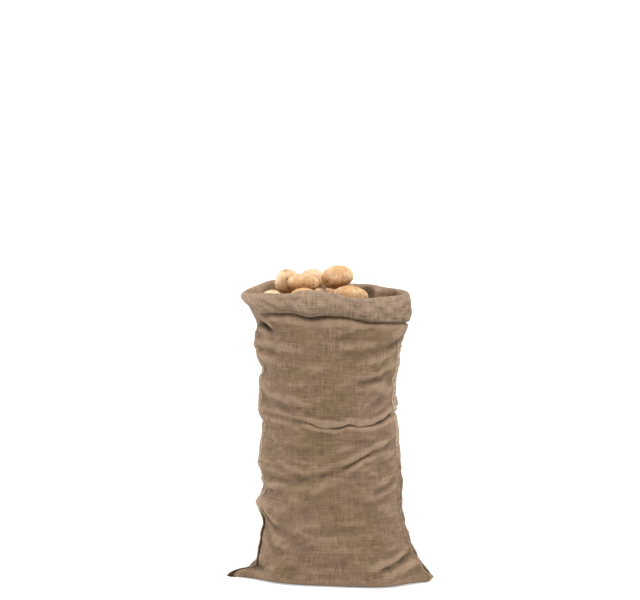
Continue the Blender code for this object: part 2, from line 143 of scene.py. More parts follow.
# Creases that run round the wall. Each row is a point of one: turn, height, half-width, depth, and
# how far the cloth above hangs down over it
CREASES = (
    # the main crease of the front
    (
        (184, 0.462, 0.008, 0.000, 0.000),
        (196, 0.467, 0.009, 0.001, 0.000),
        (208, 0.472, 0.010, 0.002, 0.000),
        (222, 0.473, 0.010, 0.003, 0.000),
        (238, 0.467, 0.010, 0.003, 0.001),
        (250, 0.463, 0.009, 0.006, 0.003),
        (258, 0.458, 0.008, 0.011, 0.008),
        (268, 0.452, 0.008, 0.014, 0.010),
        (277, 0.452, 0.008, 0.009, 0.005),
        (284, 0.457, 0.008, 0.008, 0.004),
        (296, 0.454, 0.008, 0.013, 0.010),
        (306, 0.453, 0.008, 0.011, 0.007),
        (316, 0.458, 0.009, 0.008, 0.003),
        (329, 0.467, 0.009, 0.009, 0.003),
        (345, 0.470, 0.009, 0.006, 0.001),
        (358, 0.471, 0.009, 0.003, 0.000),
        (370, 0.470, 0.009, 0.000, 0.000),
    ),
    # the soft hollow that runs down to it from the left
    (
        (180, 0.524, 0.018, 0.000, 0.000),
        (198, 0.517, 0.022, 0.003, 0.000),
        (222, 0.507, 0.022, 0.005, 0.000),
        (240, 0.495, 0.021, 0.004, 0.000),
        (254, 0.481, 0.018, 0.002, 0.000),
        (264, 0.470, 0.014, 0.001, 0.000),
        (272, 0.464, 0.014, 0.000, 0.000),
    ),
    # the second crease, which climbs to the right
    (
        (186, 0.296, 0.018, 0.000, 0.000),
        (204, 0.298, 0.026, 0.004, 0.000),
        (222, 0.301, 0.028, 0.006, 0.000),
        (245, 0.305, 0.026, 0.006, 0.000),
        (263, 0.313, 0.019, 0.006, 0.000),
        (275, 0.330, 0.013, 0.005, 0.001),
        (284, 0.347, 0.009, 0.007, 0.003),
        (294, 0.363, 0.007, 0.010, 0.005),
        (304, 0.374, 0.008, 0.006, 0.002),
        (321, 0.386, 0.010, 0.005, 0.001),
        (338, 0.392, 0.012, 0.002, 0.000),
        (350, 0.394, 0.012, 0.000, 0.000),
    ),
    # the dark pocket where the cuff ends on the left
    (
        (185, 0.735, 0.010, 0.000, 0.000),
        (190, 0.734, 0.012, 0.010, 0.000),
        (195, 0.731, 0.013, 0.018, 0.001),
        (201, 0.726, 0.013, 0.019, 0.002),
        (207, 0.720, 0.012, 0.018, 0.002),
        (212, 0.713, 0.011, 0.014, 0.002),
        (216, 0.706, 0.009, 0.006, 0.001),
        (220, 0.700, 0.009, 0.000, 0.000),
    ),
    # the hollow under the knob on the left
    (
        (186, 0.640, 0.013, 0.000, 0.000),
        (197, 0.650, 0.013, 0.006, 0.000),
        (212, 0.650, 0.016, 0.005, 0.000),
        (230, 0.642, 0.020, 0.004, 0.000),
        (250, 0.634, 0.022, 0.002, 0.000),
        (266, 0.630, 0.022, 0.000, 0.000),
    ),
    # the soft hollow under the cuff on the right
    (
        (272, 0.650, 0.020, 0.000, 0.000),
        (296, 0.650, 0.019, 0.004, 0.000),
        (318, 0.660, 0.017, 0.006, 0.000),
        (336, 0.672, 0.015, 0.005, 0.001),
        (352, 0.678, 0.014, 0.000, 0.000),
    ),
    # the dent on the right, above the main crease
    (
        (288, 0.570, 0.012, 0.000, 0.000),
        (300, 0.571, 0.012, 0.005, 0.001),
        (314, 0.577, 0.013, 0.006, 0.001),
        (328, 0.590, 0.014, 0.003, 0.000),
        (344, 0.600, 0.014, 0.000, 0.000),
    ),
    # the crease from the bulge on the left side down to the front
    (
        (191, 0.214, 0.009, 0.000, 0.000),
        (200, 0.197, 0.009, 0.004, 0.000),
        (208, 0.179, 0.008, 0.009, 0.001),
        (217, 0.166, 0.009, 0.005, 0.001),
        (226, 0.156, 0.012, 0.002, 0.000),
        (242, 0.143, 0.015, 0.001, 0.000),
        (256, 0.134, 0.016, 0.000, 0.000),
    ),
    # the soft hollow that climbs from the bottom to the right ear
    (
        (284, 0.038, 0.014, 0.000, 0.000),
        (296, 0.048, 0.013, 0.004, 0.001),
        (309, 0.060, 0.011, 0.006, 0.002),
        (321, 0.071, 0.010, 0.008, 0.003),
        (332, 0.080, 0.011, 0.005, 0.001),
        (344, 0.088, 0.012, 0.000, 0.000),
    ),
    # creases of the back
    (
        (6, 0.486, 0.012, 0.000, 0.000),
        (30, 0.492, 0.010, 0.008, 0.003),
        (62, 0.500, 0.010, 0.012, 0.006),
        (94, 0.508, 0.009, 0.013, 0.008),
        (128, 0.514, 0.010, 0.012, 0.005),
        (156, 0.512, 0.012, 0.006, 0.001),
        (176, 0.508, 0.014, 0.000, 0.000),
    ),
    (
        (2, 0.390, 0.016, 0.000, 0.000),
        (26, 0.378, 0.015, 0.007, 0.001),
        (60, 0.354, 0.012, 0.010, 0.004),
        (92, 0.340, 0.012, 0.008, 0.002),
        (124, 0.334, 0.014, 0.004, 0.000),
        (146, 0.332, 0.014, 0.000, 0.000),
    ),
    (
        (84, 0.184, 0.014, 0.000, 0.000),
        (104, 0.196, 0.013, 0.006, 0.001),
        (132, 0.220, 0.011, 0.009, 0.003),
        (158, 0.240, 0.012, 0.005, 0.001),
        (178, 0.250, 0.014, 0.000, 0.000),
    ),
    (
        (66, 0.660, 0.016, 0.000, 0.000),
        (90, 0.640, 0.015, 0.005, 0.001),
        (118, 0.626, 0.013, 0.007, 0.002),
        (148, 0.612, 0.014, 0.004, 0.000),
        (166, 0.606, 0.014, 0.000, 0.000),
    ),
)

# Small folds, each from one end to the other: turn and height of both ends, how far its middle
# sags, half-width and depth, which is less than 0 for a ridge
SMALL_FOLDS = (
    (196, 0.474, 240, 0.456, 0.004, 0.016, -0.0025),
    (306, 0.475, 330, 0.512, -0.002, 0.006, -0.0035),
    (300, 0.492, 322, 0.530, 0.000, 0.010, 0.0022),
    (196, 0.270, 236, 0.276, -0.003, 0.012, -0.0018),
    (306, 0.352, 344, 0.376, 0.004, 0.006, -0.0030),
    (300, 0.262, 336, 0.300, 0.006, 0.012, 0.0045),
    (290, 0.232, 330, 0.262, 0.008, 0.014, 0.0025),
    (206, 0.142, 250, 0.085, 0.010, 0.014, 0.0030),
    (246, 0.165, 300, 0.172, 0.006, 0.012, 0.0022),
    (304, 0.088, 338, 0.108, 0.004, 0.012, 0.0026),
    (318, 0.050, 346, 0.070, 0.000, 0.013, -0.0035),
    (248, 0.690, 252, 0.640, 0.000, 0.008, -0.0015),
    (262, 0.705, 300, 0.695, 0.006, 0.014, 0.0022),
    (240, 0.595, 284, 0.602, 0.010, 0.020, 0.0016),
    (214, 0.560, 262, 0.548, 0.006, 0.018, 0.0018),
    (225, 0.390, 272, 0.384, 0.004, 0.012, 0.0018),
    (276, 0.418, 318, 0.408, 0.006, 0.012, 0.0022),
    (352, 0.480, 384, 0.455, 0.006, 0.012, 0.0080),
    (350, 0.372, 392, 0.395, 0.004, 0.012, 0.0060),
    (356, 0.572, 400, 0.560, 0.006, 0.014, 0.0050),
    (346, 0.245, 396, 0.222, 0.008, 0.014, 0.0055),
    (356, 0.645, 396, 0.662, 0.004, 0.014, 0.0045),
    (16, 0.150, 66, 0.116, 0.006, 0.014, 0.0050),
    (60, 0.432, 118, 0.452, 0.010, 0.012, 0.0045),
    (74, 0.280, 132, 0.292, 0.008, 0.014, 0.0050),
    (30, 0.530, 84, 0.574, 0.004, 0.014, 0.0040),
    (96, 0.590, 150, 0.562, 0.006, 0.014, 0.0050),
    (120, 0.398, 176, 0.372, 0.006, 0.013, 0.0055),
    (134, 0.480, 178, 0.500, 0.006, 0.012, 0.0060),
    (60, 0.690, 124, 0.680, 0.008, 0.016, 0.0040),
    (140, 0.668, 182, 0.640, 0.004, 0.013, 0.0050),
    (140, 0.305, 184, 0.270, -0.004, 0.013, 0.0055),
    (120, 0.120, 168, 0.182, 0.006, 0.012, 0.0060),
    (84, 0.075, 140, 0.062, 0.004, 0.014, 0.0040),
)

# Upright folds of the cuff and of the wall inside it: turn, half-width in degrees, how far they
# stand out on the cuff, and how far on the wall inside
CUFF_FOLDS = (
    (202, 7, -0.0030, 0.0020),
    (222, 9, 0.0015, -0.0020),
    (246, 8, -0.0015, 0.0010),
    (258, 9, 0.0020, -0.0020),
    (284, 8, -0.0020, 0.0020),
    (306, 9, 0.0012, 0.0000),
    (328, 8, -0.0012, 0.0020),
    (344, 7, 0.0020, -0.0030),
    (12, 8, -0.0020, -0.0020),
    (28, 8, 0.0020, 0.0080),
    (45, 8, -0.0015, -0.0175),
    (62, 8, 0.0015, 0.0100),
    (80, 9, -0.0015, 0.0040),
    (104, 9, 0.0020, -0.0040),
    (130, 8, -0.0020, 0.0040),
    (152, 8, 0.0020, -0.0050),
    (170, 7, -0.0030, 0.0030),
)

# Where the side seams draw in (less than 0) or bulge: seam, height, half-height, reach
PUCKERS = (
    (LEFT_SEAM, 0.150, 0.020, -0.007),
    (LEFT_SEAM, 0.216, 0.022, 0.016),
    (LEFT_SEAM, 0.255, 0.019, -0.008),
    (LEFT_SEAM, 0.337, 0.024, 0.008),
    (LEFT_SEAM, 0.430, 0.018, -0.005),
    (LEFT_SEAM, 0.591, 0.020, -0.007),
    (RIGHT_SEAM, 0.468, 0.016, -0.006),
    (RIGHT_SEAM, 0.515, 0.019, -0.005),
    (RIGHT_SEAM, 0.565, 0.018, -0.007),
    (RIGHT_SEAM, 0.625, 0.030, 0.004),
)
PUCKER_SPREAD = 0.42  # radians each way from the seam

# Section across a fold, in half-widths of it: height, middle and half-width of the groove, of the
# shoulder above it and of the lower one beneath
FOLD_SHAPE = ((-1.0, -0.15, 0.6), (0.5, 1.3, 0.9), (0.3, -1.7, 0.9))
DROOP_AT = 0.5  # where the lip above a crease hangs down most, and over what width, likewise
DROOP_HALF = 0.7
SMALL_FOLD_ENDS = 0.8  # power of the fade towards both ends of a small fold

# Smooth unevenness: how much, seed, range of waves round the girth and range of waves a metre up
CREASE_WAVER = (0.0009, 29, (6, 26), (4, 26))
CREASE_UNEVEN = (0.22, 41, (5, 18), (4, 22))
KNOBS = (0.0014, 3, (4, 12), (5, 13))
FINE_CRUMPLE = (0.0003, 17, (8, 36), (18, 46))
CUFF_CRUMPLE = (0.0009, 53, (7, 30), (10, 42))
LINE_PATHS = (1.0, 11, (1, 6), (7, 20))
LINE_PLACES = (0.8, 5, (2, 6), (2, 8))
WAVES = 28  # how many waves add up to one such field
LINE_DEPTH = 0.0018  # of the fine creases, which run where LINE_PATHS is near 0
LINE_WIDTH = 0.32
LINE_COVER = 0.25  # more spreads them over more of the wall
SMOOTH_AT_FLOOR = 0.05  # height of the stretches where the cloth is pulled smooth
SMOOTH_AT_RIM = 0.05

# How the wall draws in behind the cuff's lower edge and swells out below it
UNDER_CUFF_DEPTH = 0.0070
UNDER_CUFF_SWELL = 0.0055
UNDER_CUFF_DROP = 0.0080  # from the edge down to where the one becomes the other
UNDER_CUFF_TURN = 0.0110  # height over which it does
UNDER_CUFF_FADE = 0.0300  # height over which each of them dies away
UNDER_CUFF_END = 0.03  # the last stretch below the rim, where none is left
UNDER_CUFF_FLAT = math.radians(188)  # turn where both are least
UNDER_CUFF_LESS = 0.6  # how much less they are there, and for how many radians each way
UNDER_CUFF_LESS_HALF = 0.40
EDGE_STEPS = 8  # steps that find the level of the cuff's lower edge
INSIDE_FOLDS_FROM = 0.69  # level from which the upright folds show on the wall inside
INSIDE_FOLDS_OVER = 0.08

# The sewn edges of a side seam
LIP_OUT = 0.0066  # how far they stand out, before the share that SEAM_LIPS gives
LIP_APART = 0.0038  # from the seam's middle to the crest of each edge
LIP_SPREAD = 0.5  # how much further apart they are where the seam gapes
LIP_WIDTH = 0.0024  # half-width of an edge
LIP_TOP = 0.690  # where those edges have died away, behind the cuff
LIP_FADE = 0.050  # over this height
LIP_LEAN = math.radians(22)
LIP_WAVES = ((0.20, 133), (0.06, 353))  # unevenness: how much, and radians for each metre up
LIP_GROOVE = 0.0034  # depth of the groove between them
GROOVE_WIDTH = 0.8  # half-width of the groove, in widths of an edge
GROOVE_WIDER = 0.6  # and how much more where the seam gapes

# Turn of each seam, which way its edges lean, and for the front and the rear edge: side, phase of
# its waves, share of LIP_OUT, and how much of that it loses where the seam gapes
SEAM_LIPS = (
    (LEFT_SEAM, LIP_LEAN, ((-1, 0.4, 0.62, 0.9), (1, 2.1, 1.20, 0.0))),
    (RIGHT_SEAM, -LIP_LEAN, ((-1, 0.4, 0.60, 0.0), (1, 2.1, 1.45, 0.0))),
)
SEAM_WAVES = ((0.0012, 121, 1), (0.0007, 287, 2))  # how much, radians a metre up, seam turns added
LEFT_SLIDE = 0.0050  # how far the left seam lies further forward low down
SLIDE_FROM = 0.260
SLIDE_OVER = 0.060
OPEN_FROM = 0.205  # the left seam gapes below this level
OPEN_OVER = 0.040
RIGHT_GAPE = 0.30  # how far the right seam gapes all along
RIGHT_SLOT = 0.70  # and how much more in its one slot
RIGHT_SLOT_AT = 0.632
RIGHT_SLOT_HALF = 0.020

# Painted shade in the side seams' gaps and painted highlight on their edges
SEAM_DARK = 0.34  # painted shade of the gap between the edges where the seam is shut
SEAM_REACH = 0.014  # the stretch each side of the seam that takes no other dark crease
MARK_WIDTH = 0.7  # half-width of the painted dark gap, in widths of an edge
MARK_WIDER = 0.4  # and how much more where the seam gapes
LEFT_MARK_BACK = 0.0030  # how far behind its middle the open left seam's painted shade is darkest
LEFT_CREST_BACK = 0.0006  # and the painted highlight on its edge, which is narrower there
LEFT_CREST_LESS = 0.5
RIGHT_EDGE_LIGHT = 1.8  # how pale the painted highlight on the right seam's edges is, which are partly rubbed too, before what stays at most 1
EDGE_LIGHT_LOW = 0.15  # the share of that they have at the bottom, where it is least
PALE_FROM = 0.300  # level from which they get paler, over this height
PALE_OVER = 0.140

# The cloth's grid
SEAM_COLUMNS = 25  # columns across each seam
SEAM_HALF = 0.015  # half-width of the stretch they cover
FLOOR_ROWS = 6
ROLL_ROWS = 9
CUFF_ROWS = 16
TUCK_ROWS = 9
TUCK_RADIUS = 0.0060  # at which the cuff's lower edge curls in
TUCK_TURN = math.radians(150)
FLOOR_START = 0.02  # share of the way from the fold line to the wall where the first row lies
FOLD_SHORT = 0.04  # share of its length by which the fold line stops short of the ears' tips

# Where the rows up the wall are closer together: level, half-height and how much closer
DENSE_LEVELS = (
    (0.455, 0.022, 1.2),
    (0.320, 0.035, 0.5),
    (0.010, 0.020, 1.5),
    (0.700, 0.030, 0.4),
)
DENSE_SAMPLES = 4000

# Painted shade of the cloth's creases and of the line at the ground, and painted light on its ridges and
# rim
HOLLOW_DEPTH = 0.0040  # from a sharp ridge to a deep crease
HOLLOW_ROUNDS = 5  # rounds of averaging that say what lies around a point
DEEP_ROUNDS = 2
DEEP_FROM = 0.0009  # depth from which a narrow crease is painted dark
DEEP_FADE = 0.0020
DEEP_SHADOW = (0.84, 0.90, 0.95)  # share of red, green and blue that the darkest painted shade takes away
GROUND_DARK = 0.75  # painted shade of the last few millimetres above the ground
GROUND_LEVEL = 0.004
GROUND_FADE = 0.004
HOLE_FROM = 0.007  # depth from which a crease of CREASES is painted as a dark hole
HOLE_OVER = 0.009
INSIDE_DARK = 0.80  # painted shade of the creases inside the mouth, next to those outside
INSIDE_ROUNDS = 3  # rounds of averaging that soften them
INSIDE_LIGHTER = 0.22  # painted light that lifts the shade of the face inside the mouth
RIM_HIGHLIGHT = 0.34  # and how much more lifts the rolled rim, as a painted highlight
RIM_HIGHLIGHT_AT = 0.6  # middle and half-width of the rim's painted highlight, in shares of the roll
EDGE_SHADE = 0.75  # least painted shade of the cuff's edge where it curls in, so that it takes no painted highlight
GREY_END = 0.65  # how much of the turned face's paler colour, which is partly painted light from above, the cuff loses at the right, where the right light falls
GREY_AT = math.radians(-14)
GREY_HALF = math.radians(26)

# The painted shadow in the pocket where the cuff ends on the left: turn, height and half-height
POCKET_SHADOW = (
    (189, 0.729, 0.0010),
    (193, 0.725, 0.0075),
    (198, 0.721, 0.0095),
    (204, 0.717, 0.0090),
    (210, 0.712, 0.0080),
    (215, 0.706, 0.0055),
    (219, 0.702, 0.0010),
)
POCKET_THIN = 0.0005  # least half-height of that shadow

# The seam twine: places of a stitch's points across the seam, and how uneven the stitches are
STITCH_ACROSS = (-0.0092, -0.0066, -LIP_APART, 0.0, LIP_APART, 0.0066, 0.0092)
STITCH_POINTS = 13
STITCH_FROM = 0.012  # level of the first stitch
SEAM_TOP = 0.735  # and of the last
STITCH_LIFT = 0.20  # off the cloth, in widths of the twine
STITCH_SLANT = (0.35, 0.65)  # in stitch steps
STITCH_STEPS = (0.82, 1.2)
TWINE_WIDTHS = (0.85, 1.15)
TWINE_SIDES = 6
GROOVE_LIFT = 0.0003  # moves the middle point of a stitch off the straight line over the groove
LEFT_STITCH_SEED = 31
RIGHT_STITCH_SEED = 47

# The loose fibres
SEAM_FIBRES = 0.30  # share of them at the side seams
WALL_FIBRES = 0.42  # share on the wall, and the rest are on the cuff
FIBRE_SCATTER = 0.0045  # about the seams
FIBRE_LEVELS = (0.004, 0.73)  # where they grow at the seams
WALL_FIBRE_LEVELS = (0.004, 0.745)
FIBRE_LENGTHS = (0.4, 1.5)
FIBRE_WIDTHS = (0.7, 1.3)
FIBRE_RISE = (0.12, 0.75)  # how far they stand off, in their own lengths
FIBRE_BEND = 0.6 * math.pi  # how far round they bend as they do
FIBRE_CURL = 0.35
FIBRE_POINTS = 6
FIBRE_SIDES = 4
FIBRE_ROOT = 0.0004  # how deep in the cloth they start, and how high above the floor they stay

# Tubes, for twine and fibres
TUBE_SIDEWAYS = (0.31, 0.17, 0.93)  # a direction that no tube follows
TUBE_TAPER = 0.8  # how much of its section a tube loses towards its two ends
TUBE_TAPER_POWER = 6
TUBE_TIP = 0.05  # share of the section that is left at the very ends

# The potatoes
LUMP_WAVES = ((2.2, 1.0), (4.5, 0.45), (9.0, 0.14))  # how many, and how strong
EYES = (5, 9)  # how many a potato has, with the second left out
EYE_WIDTHS = (0.0022, 0.0036)
EYE_SPACING = 1.2  # evens out that a potato is longer than it is wide
EYE_DEPTH = 0.28
EYE_DENT = 1.7  # width of the dent round an eye, in widths of the eye
WELD_DISTANCE = 0.00002
SMOOTH_SHARE = 0.5
SMOOTH_ROUNDS = 14
FIRST_POTATO_SEED = 100
# How brown and freckled each of the potatoes that show is, from 0 to 1
POTATO_TINTS = (0.10, 0.00, 0.55, 0.50, 0.60, 0.10, 0.85, 0.35)
TOUCH_FADE = 0.024  # over which the painted shade where two potatoes touch dies away
UNDER_SHADE = 0.75  # painted shade on an underside
UNDER_FROM = 0.22  # grows from this upward slope, at this pace
UNDER_PACE = 1.2
BURIED_SHADE = 0.50  # least painted shade of a potato whose middle lies below this height
BURIED_FROM = 0.785
BURIED_OVER = 0.012

# The bed of potatoes below those that show
BED_RADII = (0.025, 0.031)
BED_LEVELS = (0.62, 0.75)  # heights of the middles at first
BED_START = (0.16, 0.12)  # reach of the middles at first, along x and y
BED_REACH = (0.178, 0.137)  # room inside the cloth
BED_FLOOR = 0.60  # least height of a middle
BED_ROUNDS = 220  # rounds of pushing them apart
BED_PUSH = 0.35  # share of an overlap that each of two hidden potatoes gives way
BED_PUSH_FIXED = 0.5  # and that a hidden one gives way to one that shows
BED_SLOPE = 0.30  # how fast the bed falls towards the right, from this x on
BED_SLOPE_FROM = 0.02
BED_AROUND = 16  # faces round a hidden potato, and along it
BED_ALONG = 12
BED_STRETCH = ((1.08, 1.25), (0.92, 1.02), (0.82, 0.95))  # length, width and thickness
BED_SIZE = 1.2  # mean size over radius, which places the eyes
BED_LUMP = 0.0025
FIRST_BED_SEED = 500
# Painted shade of the hidden potatoes: the least of it, and the depth below their top over which it grows
BED_LEAST_SHADE = 0.42
BED_SHADE = 0.045
BED_TINT = 0.6

# The weave, in metres of cloth and in noise scales
YARN_DRIFT = 0.0030  # how far a yarn wanders
DRIFT_SCALE = 34
YARN_ROUND = 0.55  # power that makes a yarn's section round
YARN_MIDDLE = 0.62  # height of a yarn between the crossings
YARN_OVER = 0.32  # and how far it rises and falls at them
YARN_WIDTHS = (0.72, 1.15)  # thin and thick stretches of a yarn
STREAK_ROUGHNESS = 0.62

# The stage
SENSOR = 36  # width in millimetres
CLIP_END = 500
FLOOR_DROP = 0.0002  # below the sack's own flat bottom
FLOOR_UNEVEN = 0.01
LIGHT_TARGET = (0, 0, 0.4)
KEY_PLACE = (0.25, -1.8, 3.9)
KEY_SIZE = math.radians(40)
EDGE_PLACE = (3, 1.0, 1.6)  # of the right edge light; the left one mirrors it
EDGE_SIZE = math.radians(50)


# Curves and soft shapes
def smooth_curve(rows, column, where):
    """Reads a smooth curve through the rows' first column and the given one."""
    knots = np.array([row[0] for row in rows], float)
    values = np.array([row[column] for row in rows], float)
    slopes = np.gradient(values, knots)
    where = np.clip(where, knots[0], knots[-1])
    index = np.clip(np.searchsorted(knots, where) - 1, 0, len(knots) - 2)
    span = knots[index + 1] - knots[index]
    s = (where - knots[index]) / span
    return (
        values[index] * (1 + 2 * s) * (1 - s) ** 2
        + slopes[index] * span * s * (1 - s) ** 2
        + values[index + 1] * (3 - 2 * s) * s**2
        + slopes[index + 1] * span * (s - 1) * s**2
    )


def round_mouth(turn, column):
    """Reads a column of MOUTH at a turn in radians, joined into a closed curve."""
    before = [(row[0] - 360, *row[1:]) for row in MOUTH]
    after = [(row[0] + 360, *row[1:]) for row in MOUTH]
    return smooth_curve(before + list(MOUTH) + after, column, np.degrees(turn) % 360)


def between(turn, middle):
    """Signed angle from middle to turn, the short way round."""
    return (turn - middle + math.pi) % (2 * math.pi) - math.pi


def bell(distance, width):
    """1 at no distance, falling smoothly away over the width."""
    return np.exp(-((distance / width) ** 2))


def ease(value):
    """Takes 0 to 1 smoothly to 0 to 1, and holds at both ends."""
    value = np.clip(value, 0, 1)
    return value**2 * (3 - 2 * value)


def ripples(turn, level, amount, seed, round_waves, up_waves):
    """A smooth random field on the wall, about -amount to amount, which closes round the sack.

    round_waves is the range of waves round the girth, and up_waves that of waves for each metre up.
    """
    random = np.random.default_rng(seed)
    field = np.zeros(np.broadcast(turn, level).shape)
    for _ in range(WAVES):
        around = random.integers(round_waves[0], round_waves[1] + 1) * random.choice((-1, 1))
        upward = random.uniform(*up_waves) * 2 * math.pi
        field += np.sin(around * turn + upward * level + random.uniform(0, 2 * math.pi))
    return amount * field / math.sqrt(WAVES / 2)


# The wall
def fold_profile(across):
    """A groove with a swollen shoulder above it and a lower one beneath."""
    return sum(height * bell(across - middle, half) for height, middle, half in FOLD_SHAPE)


def crease_push(turn, level):
    """How far the creases push the wall outwards and downwards."""
    out = np.zeros(np.broadcast(turn, level).shape)
    down = np.zeros_like(out)
    level = level + ripples(turn, level, *CREASE_WAVER)
    uneven = 1 + ripples(turn, level, *CREASE_UNEVEN)
    for rows in CREASES:
        first, last = rows[0][0], rows[-1][0]
        where = first + (np.degrees(turn) - first + 90) % 360 - 90
        height, half_width, depth, droop = (smooth_curve(rows, i, where) for i in range(1, 5))
        slope = (smooth_curve(rows, 1, where + 1) - height) / (math.radians(1) * GIRTH_RADIUS)
        inside = (where > first) & (where < last)
        across = (level - height) / (half_width * np.hypot(1, slope))
        out += inside * uneven * depth * fold_profile(across)
        down += inside * uneven * droop * bell(across - DROOP_AT, DROOP_HALF)
    return out, down


def rim_rise(turn, level):
    """How far the rim's ups and downs move the wall at a level."""
    return (round_mouth(turn, 1) - RIM_LEVEL) * ease((level - RIM_LEVEL + RIM_BLEND) / RIM_BLEND)


def cuff_edge_level(turn):
    """The level whose height is that of the cuff's lower edge."""
    edge = round_mouth(turn, 2)
    level = edge
    for _ in range(EDGE_STEPS):
        level = (level + edge - rim_rise(turn, level)) / 2
    return level


def under_cuff(turn, level):
    """The wall draws in behind the cuff's lower edge, and swells out right below it."""
    below = cuff_edge_level(turn) - UNDER_CUFF_DROP - level
    behind = ease(0.5 - below / UNDER_CUFF_TURN)
    swollen = UNDER_CUFF_SWELL * (1 - behind) * bell(np.maximum(below, 0), UNDER_CUFF_FADE)
    drawn = UNDER_CUFF_DEPTH * behind * bell(np.minimum(below, 0), UNDER_CUFF_FADE)
    flat = bell(between(turn, UNDER_CUFF_FLAT), UNDER_CUFF_LESS_HALF)
    return (swollen - drawn) * (1 - UNDER_CUFF_LESS * flat)


def small_folds(turn, level):
    """How far the small folds push the wall outwards."""
    out = np.zeros(np.broadcast(turn, level).shape)
    for turn_a, height_a, turn_b, height_b, sag, half_width, depth in SMALL_FOLDS:
        middle = math.radians((turn_a + turn_b) / 2)
        run = math.radians(turn_b - turn_a) * GIRTH_RADIUS
        rise = height_b - height_a
        x = between(turn, middle) * GIRTH_RADIUS
        y = level - (height_a + height_b) / 2
        length = math.hypot(run, rise)
        along = (x * run + y * rise) / length**2 + 0.5
        inside = np.clip(along, 0, 1)
        across = (y * run - x * rise) / length + sag * 4 * inside * (1 - inside)
        fade = np.sin(math.pi * inside) ** SMALL_FOLD_ENDS
        out += fade * depth * fold_profile(across / half_width)
    return out


def pucker_push(turn, level):
    """How far the wall bulges or draws in at the side seams."""
    out = np.zeros(np.broadcast(turn, level).shape)
    for seam, height, half_height, reach in PUCKERS:
        out += reach * bell(between(turn, seam), PUCKER_SPREAD) * bell(level - height, half_height)
    return out


def crumple(turn, level):
    """Soft knobs where potatoes press, and fine creases that wander round the wall."""
    lines = ripples(turn, level, *LINE_PATHS)
    where = ease(ripples(turn, level, *LINE_PLACES) + LINE_COVER)
    creases = -LINE_DEPTH * bell(lines, LINE_WIDTH) * where
    soft = ripples(turn, level, *KNOBS) + creases + ripples(turn, level, *FINE_CRUMPLE)
    return soft * ease(level / SMOOTH_AT_FLOOR)


def upright_folds(turn, level, on_cuff):
    """How far the upright folds stand out on the cuff, or on the wall inside it."""
    out = np.zeros(np.broadcast(turn, level).shape)
    near_rim = ease((level - INSIDE_FOLDS_FROM) / INSIDE_FOLDS_OVER)
    for middle, half_width, cuff_depth, wall_depth in CUFF_FOLDS:
        shape = bell(between(turn, math.radians(middle)), math.radians(half_width))
        out += shape * (cuff_depth if on_cuff else wall_depth * near_rim)
    return out


def across_seam(turn, level, seam):
    """How far behind a side seam's wavering middle a point is, and how far the seam gapes there."""
    waver = sum(much * np.sin(level * pace + times * seam) for much, pace, times in SEAM_WAVES)
    if seam == LEFT_SEAM:
        waver = waver - LEFT_SLIDE * ease((SLIDE_FROM - level) / SLIDE_OVER)
        gape = ease((OPEN_FROM - level) / OPEN_OVER)
    else:
        gape = RIGHT_GAPE + RIGHT_SLOT * bell(level - RIGHT_SLOT_AT, RIGHT_SLOT_HALF)
    return np.sign(math.cos(seam)) * between(turn, seam) * GIRTH_RADIUS - waver, gape


def lip_place(side, gape):
    """How far behind the seam's middle the crest of its front (-1) or rear (1) edge is."""
    return side * LIP_APART * (1 + LIP_SPREAD * gape)


def seam_lips(turn, level):
    """Where the two sewn edges of each side seam move the wall, as x and y."""
    x = np.zeros(np.broadcast(turn, level).shape)
    y = np.zeros_like(x)
    sewn = ease((LIP_TOP - level) / LIP_FADE)
    for seam, lean, lips in SEAM_LIPS:
        behind, gape = across_seam(turn, level, seam)
        for side, phase, share, lost in lips:
            uneven = 1 + sum(much * np.sin(level * pace + phase) for much, pace in LIP_WAVES)
            tall = LIP_OUT * share * (1 - lost * gape)
            crest = sewn * tall * uneven * bell(behind - lip_place(side, gape), LIP_WIDTH)
            x = x + crest * math.cos(seam + lean)
            y = y + crest * math.sin(seam + lean)
        width = LIP_WIDTH * (GROOVE_WIDTH + GROOVE_WIDER * gape)
        groove = sewn * LIP_GROOVE * (1 + gape) * bell(behind, width)
        x = x - groove * math.cos(seam)
        y = y - groove * math.sin(seam)
    return x, y


def seam_marks(turn, level):
    """Marks of the side seams on the wall: the painted shade in the gap, the painted highlight on the
    edges, which are partly rubbed too, and how near a seam is.
    """
    dark = np.zeros(np.broadcast(turn, level).shape)
    worn_and_highlit = np.zeros_like(dark)
    near = np.zeros_like(dark)
    sewn = ease((LIP_TOP - level) / LIP_FADE)
    pale = EDGE_LIGHT_LOW + (1 - EDGE_LIGHT_LOW) * ease((level - PALE_FROM) / PALE_OVER)
    for seam in (LEFT_SEAM, RIGHT_SEAM):
        behind, gape = across_seam(turn, level, seam)
        open_left = gape * (seam == LEFT_SEAM)
        strength = SEAM_DARK + (1 - SEAM_DARK) * gape
        width = LIP_WIDTH * (MARK_WIDTH + MARK_WIDER * gape)
        dark = dark + sewn * strength * bell(behind - LEFT_MARK_BACK * open_left, width)
        for side in (-1, 1):
            rubbed_and_lit = 1 - (side < 0) * gape if seam == LEFT_SEAM else RIGHT_EDGE_LIGHT * pale
            crest = behind - lip_place(side, gape) - LEFT_CREST_BACK * open_left
            worn_and_highlit = worn_and_highlit + sewn * rubbed_and_lit * bell(crest, LIP_WIDTH * (1 - LEFT_CREST_LESS * open_left))
        near = near + bell(behind, SEAM_REACH)
    return dark, np.clip(worn_and_highlit, 0, 1), np.clip(near, 0, 1)


